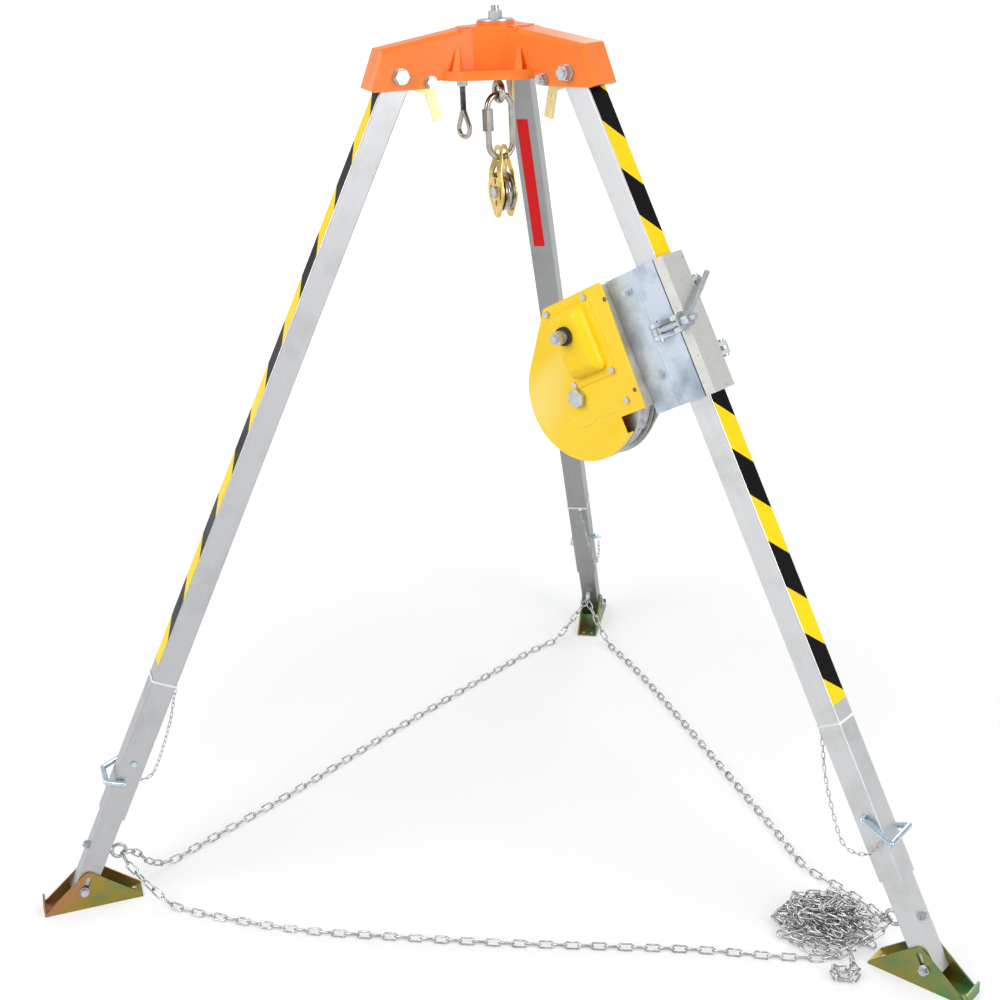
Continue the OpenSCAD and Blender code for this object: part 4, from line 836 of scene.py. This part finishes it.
for k in range(29):
    angle = math.radians(LOOP_FROM - LOOP_STEP * k)
    second_turn = k > 14
    lay = (LOOP_LONG * math.cos(angle), LOOP_WIDE * math.sin(angle), LOOP_RISE * second_turn)
    tail.append(loop_middle + Vector(lay))
PITCH = 26 * MM
ROLL, ROLL_SPREAD = 45, 24


def links_along(line):
    """Places for links, end to end along a line of points."""
    places = []
    here = line[0]
    k = 1
    while k < len(line):
        if (line[k] - here).length < PITCH:
            k += 1
            continue
        away = (line[k] - here).normalized()
        there = here + away * PITCH
        beside = away.cross(Vector((0, 0, 1))).normalized()
        roll = math.radians(ROLL + dice.uniform(-ROLL_SPREAD, ROLL_SPREAD))
        roll *= 1 if len(places) % 2 else -1
        places.append(turned((here + there) / 2, away, Matrix.Rotation(roll, 3, away) @ beside))
        here = there
    return places


heap_places = links_along(line) + links_along(tail)
lay_links("spare_chain_heap", base_link, heap_places, "chain_pile")

# %% [markdown]
# The wire rope: strands laid around each other, wound side by side on the drum. A
# curve draws the coil. Its round section is not enough, because the light should
# run along each strand, so the section is a ring of six lobes and the curve's tilt
# turns it steadily, once for every six and a half rope thicknesses.

# %% Measure the drum and draw the rope's section
drum_turn = Vector((0, 0, 1)).rotation_difference(drum_axis).to_matrix().to_4x4()
place = Matrix.Translation(drum_middle) @ drum_turn
local = [place.inverted() @ v.co for v in frame["nodes"]["wire_rope"].data.vertices]
low, high = min(p.z for p in local), max(p.z for p in local)
outside = max(p.xy.length for p in local)
ROPE = 5 * MM
LOBES = 6
LOBE_DEPTH = 0.1
LAY = 6.5 * ROPE
SECTION_STEPS = 18
section = bpy.data.curves.new("rope_section", "CURVE")
lobe = section.splines.new("POLY")
lobe.points.add(SECTION_STEPS - 1)
for k, point in enumerate(lobe.points):
    turn = 2 * math.pi * k / SECTION_STEPS
    r = ROPE / 2 * (1 - LOBE_DEPTH + LOBE_DEPTH * math.cos(LOBES * turn))
    point.co = (r * math.cos(turn), r * math.sin(turn), 0, 1)
lobe.use_cyclic_u = True
section_object = bpy.data.objects.new("rope_section", section)
print("drum space", round(1000 * (high - low), 1), "mm wide,", round(1000 * outside, 1), "mm radius")

# %% Wind the rope
def drawn_mesh(curve):
    """The mesh of a curve, without leaving the curve in the scene."""
    drawn = bpy.data.objects.new(curve.name, curve)
    bpy.context.scene.collection.objects.link(drawn)
    solid = bpy.data.meshes.new_from_object(drawn.evaluated_get(bpy.context.evaluated_depsgraph_get()))
    bpy.data.objects.remove(drawn)
    return solid


def winding(name, radius, turns, rings):
    coil = bpy.data.curves.new(name, "CURVE")
    coil.dimensions = "3D"
    coil.twist_mode = "Z_UP"
    coil.bevel_mode = "OBJECT"
    coil.bevel_object = section_object
    coil.use_fill_caps = True
    line = coil.splines.new("POLY")
    count = turns * rings
    line.points.add(count)
    for k, point in enumerate(line.points):
        turn = 2 * math.pi * k / rings
        z = low + ROPE / 2 + (high - low - ROPE) * k / count
        point.co = (radius * math.cos(turn), radius * math.sin(turn), z, 1)
        point.tilt = 2 * math.pi * k * (2 * math.pi * radius / rings) / LAY
    return drawn_mesh(coil)


def round_bar(mesh, radius, length, sides, place):
    """A plain bar with closed ends, along the Z of its place."""
    bmesh.ops.create_cone(
        mesh,
        cap_ends=True,
        segments=sides,
        radius1=radius,
        radius2=radius,
        depth=length,
        matrix=place,
    )


TURNS = 7
UNDER_LAYER, CORE = 1.3 * ROPE, 1.6 * ROPE
rope = bmesh.new()
rope.from_mesh(winding("rope_outer", outside - ROPE / 2, TURNS, 180))
rope.from_mesh(winding("rope_under", outside - UNDER_LAYER, TURNS, 60))
round_bar(rope, outside - CORE, high - low, 64, Matrix.Translation((0, 0, (low + high) / 2)))
bmesh.ops.transform(rope, matrix=place, verts=rope.verts)
wound_rope = place_piece("wound_rope", rope, strand_wire, "winch_drum", "wire_rope")
bpy.data.objects.remove(section_object)
print("rope wound", TURNS, "turns at", round(1000 * outside, 1), "mm outside radius")

# %% [markdown]
# Screw threads show on the ends of the bolts. A thread is one ridge that climbs as it
# goes round: a face of four corners is the ridge's section, and a spin with a rise
# for each step sweeps it into a helix. Its place is measured: it starts at the end of
# the bolt that lies furthest along the bolt's direction.

# %% Threads on the bolt ends
THREAD_STEPS = 16
THREAD_DEPTH, THREAD_PROUD = 0.6, 0.15
NEAR_AXIS = 1.2
M16, M14 = (8 * MM, 2 * MM), (7 * MM, 2 * MM)
M12, M10 = (6 * MM, 1.75 * MM), (5 * MM, 1.5 * MM)


def thread_ridge(radius, pitch, turns):
    ridge = bmesh.new()
    root = radius - THREAD_DEPTH * pitch
    profile = ((root, -0.45), (radius, -0.06), (radius, 0.06), (root, 0.45))
    start = ridge.faces.new([ridge.verts.new((r, 0, z * pitch)) for r, z in profile])
    bmesh.ops.spin(
        ridge,
        geom=[start] + start.edges[:] + start.verts[:],
        cent=(0, 0, 0),
        axis=(0, 0, 1),
        dvec=(0, 0, pitch / THREAD_STEPS),
        angle=2 * math.pi * turns,
        steps=round(THREAD_STEPS * turns),
        use_duplicate=False,
    )
    bmesh.ops.recalc_face_normals(ridge, faces=ridge.faces)
    return ridge


def thread_end(name, node, point, direction, radius, pitch, turns):
    """A thread from a bolt's end back along it."""
    point, direction = Vector(point), Vector(direction).normalized()
    ends = [v.co - point for v in frame["nodes"][node].data.vertices]
    near = [p.dot(direction) for p in ends if p.cross(direction).length < NEAR_AXIS * radius]
    tip = point + direction * (max(near) - THREAD_DEPTH * pitch)
    ridge = thread_ridge(radius + THREAD_PROUD * pitch, pitch, turns)
    turn = Vector((0, 0, -1)).rotation_difference(direction).to_matrix().to_4x4()
    bmesh.ops.transform(ridge, matrix=Matrix.Translation(tip) @ turn, verts=ridge.verts)
    piece = place_piece(name, ridge, finish_of.get(node, zinc_plate), body_of[node])


for leg in LEGS:
    nut_side = -leg_axes[leg].to_3x3().col[1]
    pivot, foot, tab = (joint_at[leg + end] for end in ("_fold", "_foot_tilt", "_latch_swing"))
    thread_end(leg + "_pivot_thread", "leg_pivot_bolts", pivot, nut_side, *M16, 2)
    thread_end(leg + "_latch_thread", "latch_bolts", tab, nut_side, *M12, 2)
    thread_end(leg + "_foot_thread", leg + "_foot_bolt", foot, nut_side, *M10, 2)
swing_nut, swing_way = joint_at["clamp_nut_turn"], joint_axis["clamp_nut_turn"]
thread_end("swing_bolt_thread", "swing_bolt", swing_nut, swing_way, *M12, 6)
shaft, shaft_way = joint_at["drive_spin"], -joint_axis["drive_spin"]
thread_end("drive_shaft_thread", "drive_shaft", shaft, shaft_way, *M14, 4)
HUB_HEIGHT = 1.6
hub = (0, joint_at["link_swing"].y, HUB_HEIGHT)
thread_end("anchor_thread", "anchor_bolt", hub, (0, 0, 1), *M16, 4)
print("threads made")

# %% [markdown]
# The side eye is a threaded rod whose end is bent back into a drop-shaped eye. A
# curve of two straight legs and a round bottom carries the wire, and a helix goes
# over the rod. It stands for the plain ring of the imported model, in the same plane.

# %% Side eye
def bent_wire(name, path, thickness, roundness):
    """A round wire along a line of points."""
    curve = bpy.data.curves.new(name, "CURVE")
    curve.dimensions = "3D"
    curve.bevel_depth = thickness / 2
    curve.bevel_resolution = roundness
    curve.use_fill_caps = True
    bent = curve.splines.new("POLY")
    bent.points.add(len(path) - 1)
    for point, spot in zip(bent.points, path):
        point.co = (*spot, 1)
    wire = bmesh.new()
    wire.from_mesh(drawn_mesh(curve))
    return wire


eye_low, eye_high = (Vector(c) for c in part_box("side_eye_bolt"))
rod_x, rod_y = (eye_low.x + eye_high.x) / 2, (eye_low.y + eye_high.y) / 2
flat_way = Vector((eye_high.x - eye_low.x, -(eye_high.y - eye_low.y), 0)).normalized()
WIRE = 9.5 * MM
BEND, DROP = 15.5 * MM, 36 * MM
BEND_FROM, BEND_TO, BEND_STEP = -200, 21, 11
bottom = eye_low.z + WIRE / 2 + BEND
neck = bottom + DROP
turns = [math.radians(a) for a in range(BEND_FROM, BEND_TO, BEND_STEP)]
outline = [(0.0, neck + 4 * MM)] + [(BEND * math.cos(a), bottom + BEND * math.sin(a)) for a in turns]
outline.append((1.5 * MM, neck - 1 * MM))
path = [(rod_x + flat_way.x * beside, rod_y + flat_way.y * beside, up) for beside, up in outline]
eye = bent_wire("side_eye_drop", path, WIRE, 3)
place_piece("side_eye_drop", eye, polished_steel, body_of["side_eye_bolt"], "side_eye_bolt")

ROD, ROD_PITCH = M12
ROD_LONG = eye_high.z - neck
rod = thread_ridge(ROD, ROD_PITCH, ROD_LONG / ROD_PITCH - 1)
bmesh.ops.translate(rod, vec=(0, 0, neck + 1.2 * MM), verts=rod.verts)
round_bar(rod, ROD - 0.6 * MM, ROD_LONG, 24, Matrix.Translation((0, 0, (eye_high.z + neck) / 2)))
bmesh.ops.translate(rod, vec=(rod_x, rod_y, 0), verts=rod.verts)
place_piece("side_eye_rod", rod, steel["dark_threaded_steel"], body_of["side_eye_bolt"])
print("side eye:", round(1000 * (neck - eye_low.z)), "mm drop on a", round(2000 * ROD), "mm rod")

# %% [markdown]
# The gear cover has a low welt where its upper half steps over the guard of the gear,
# and two holes in its flange. Each hole is drawn as a thin dark disc on the flange:
# painted shade that stands for the dark inside of the hole. Both are placed from the
# drum's axis, in millimetres to the side and up.

# %% Welt of the gear cover, and discs of painted shade for its holes
WELT = ((116, 0), (80, -16), (45, -32), (36, -45), (19, -54), (0, -59), (-15, -53), (-26, -42))
WELT_THICK = 1.8 * MM
HOLE_SHADE_SPOTS = ((67, 200), (134, 38))
SHADE_DISC_RADIUS, SHADE_DISC_THICK = 4.5 * MM, 0.4 * MM
cover_points = [v.co - drum_middle for v in frame["nodes"]["gear_cover"].data.vertices]
face_depth = min(p.dot(drum_axis) for p in cover_points)
cover_side = drum_axis.cross(Vector((0, 0, 1))).normalized()


def on_cover(side, up):
    return drum_middle + cover_side * side * MM + Vector((0, 0, up * MM)) + drum_axis * face_depth


welt = bent_wire("cover_welt", [on_cover(side, up) for side, up in WELT], WELT_THICK, 2)
place_piece("cover_welt", welt, yellow_enamel, body_of["gear_cover"])
# Each hole is a thin dark disc: painted shade for the hole's dark inside.
hole_shade_discs = bmesh.new()
for side, up in HOLE_SHADE_SPOTS:
    round_bar(hole_shade_discs, SHADE_DISC_RADIUS, SHADE_DISC_THICK, 24, Matrix.Translation(on_cover(side, up)) @ drum_turn)
place_piece("cover_hole_shade_discs", hole_shade_discs, steel["dark_threaded_steel"], body_of["gear_cover"])
print("cover face lies", round(1000 * face_depth, 1), "mm from the drum's middle")

# %% [markdown]
# Hazard tape: printed vinyl, as wide as the flat of the tube, stuck down the outer
# face of each leg. The tape is a thin sheet with rounded edges. The stripes come
# from the material: the way up the leg, plus nine tenths of the way across it, is
# divided by the length of one pair of stripes, and the first half of each pair is
# black. Whole pairs are added so that the number stays above nought.

# %% Strips of vinyl
TAPE_TOP, TAPE_END = 32 * MM, 1241 * MM
TAPE_WIDE = 45.5 * MM
RED_LONG, RED_WIDE = 329 * MM, 24 * MM
HALF_TUBE = 25 * MM
VINYL, VINYL_MIDDLE = 0.2 * MM, 0.12 * MM
SLANT = 0.9
WHOLE_PAIRS = 20
tape_pairs = {
    "left": (183 * MM, 1165 * MM),
    "right": (180.5 * MM, 1208 * MM),
    "rear": (182 * MM, 1190 * MM),
}


def strip(name, leg, size, centre, finish):
    sheet = bmesh.new()
    bmesh.ops.create_cube(sheet, size=1.0)
    bmesh.ops.scale(sheet, vec=size, verts=sheet.verts)
    bmesh.ops.bevel(
        sheet,
        geom=sheet.edges[:],
        offset=min(size) * 0.4,
        segments=2,
        profile=0.5,
        material=-1,
        affect="EDGES",
    )
    bmesh.ops.translate(sheet, vec=centre, verts=sheet.verts)
    bmesh.ops.transform(sheet, matrix=leg_axes[leg], verts=sheet.verts)
    piece = place_piece(name, sheet, finish, leg + "_leg")
    for face in piece.data.polygons:
        face.use_smooth = False
    return piece


# %% Hazard tape
for leg in LEGS:
    vinyl, tree, shader, where = new_finish("printed_hazard_vinyl_" + leg)
    own = add(tree, "SeparateXYZ", Vector=along_leg(tree, where, leg)).outputs
    pair, black_end = tape_pairs[leg]
    slant = add(tree, "Math", own["Y"], SLANT, own["Z"], operation="MULTIPLY_ADD")
    first = black_end / pair + WHOLE_PAIRS
    share = add(tree, "Math", slant, 1 / pair, first, operation="MULTIPLY_ADD")
    beat = add(tree, "Math", share, operation="FRACT")
    black_part = add(tree, "MapRange", Value=beat, From_Min=0.497, From_Max=0.503, To_Min=1.0, To_Max=0.0)
    fade = add(tree, "TexNoise", Vector=where, Scale=per(120), Detail=4.0)
    yellow = add(tree, "MixRGB", Fac=fade, Color1=linear("#ffdc22"), Color2=linear("#fecf12"))
    black = add(tree, "MixRGB", Fac=fade, Color1=linear("#030304"), Color2=linear("#0b0b0d"))
    colour = add(tree, "MixRGB", Fac=black_part, Color1=yellow, Color2=black)
    rub = add(tree, "MapRange", Value=fade, From_Min=0.3, From_Max=0.7, To_Min=0.32, To_Max=0.46)
    stretch = add(tree, "TexNoise", Vector=where, Scale=per(14), Detail=2.0)
    wave = add(tree, "Bump", Height=stretch, Strength=0.08, Distance=0.3 * MM)
    fit(tree, shader, Base_Color=colour, Roughness=rub, Normal=wave, Specular_IOR_Level=0.08)
    length = TAPE_END - TAPE_TOP
    centre = (HALF_TUBE + VINYL_MIDDLE, 0, -(TAPE_TOP + TAPE_END) / 2)
    tape = strip(leg + "_hazard_tape", leg, (VINYL, TAPE_WIDE, length), centre, vinyl)
    print(tape.name, round(1000 * length), "mm long")

# %% Red strip
red_vinyl, tree, shader, where = new_finish("plain_red_vinyl")
fade = add(tree, "TexNoise", Vector=where, Scale=per(35), Detail=4.0)
colour = add(tree, "MixRGB", Fac=fade, Color1=linear("#e6141a"), Color2=linear("#d20e14"))
rub = add(tree, "MapRange", Value=fade, To_Min=0.3, To_Max=0.45)
fit(tree, shader, Base_Color=colour, Roughness=rub, Specular_IOR_Level=0.25)
inner_face = (-HALF_TUBE - VINYL_MIDDLE, 3 * MM, -290 * MM)
red_strip = strip("rear_red_strip", "rear", (VINYL, RED_WIDE, RED_LONG), inner_face, red_vinyl)
print(red_strip.name, round(1000 * RED_LONG), "mm long")
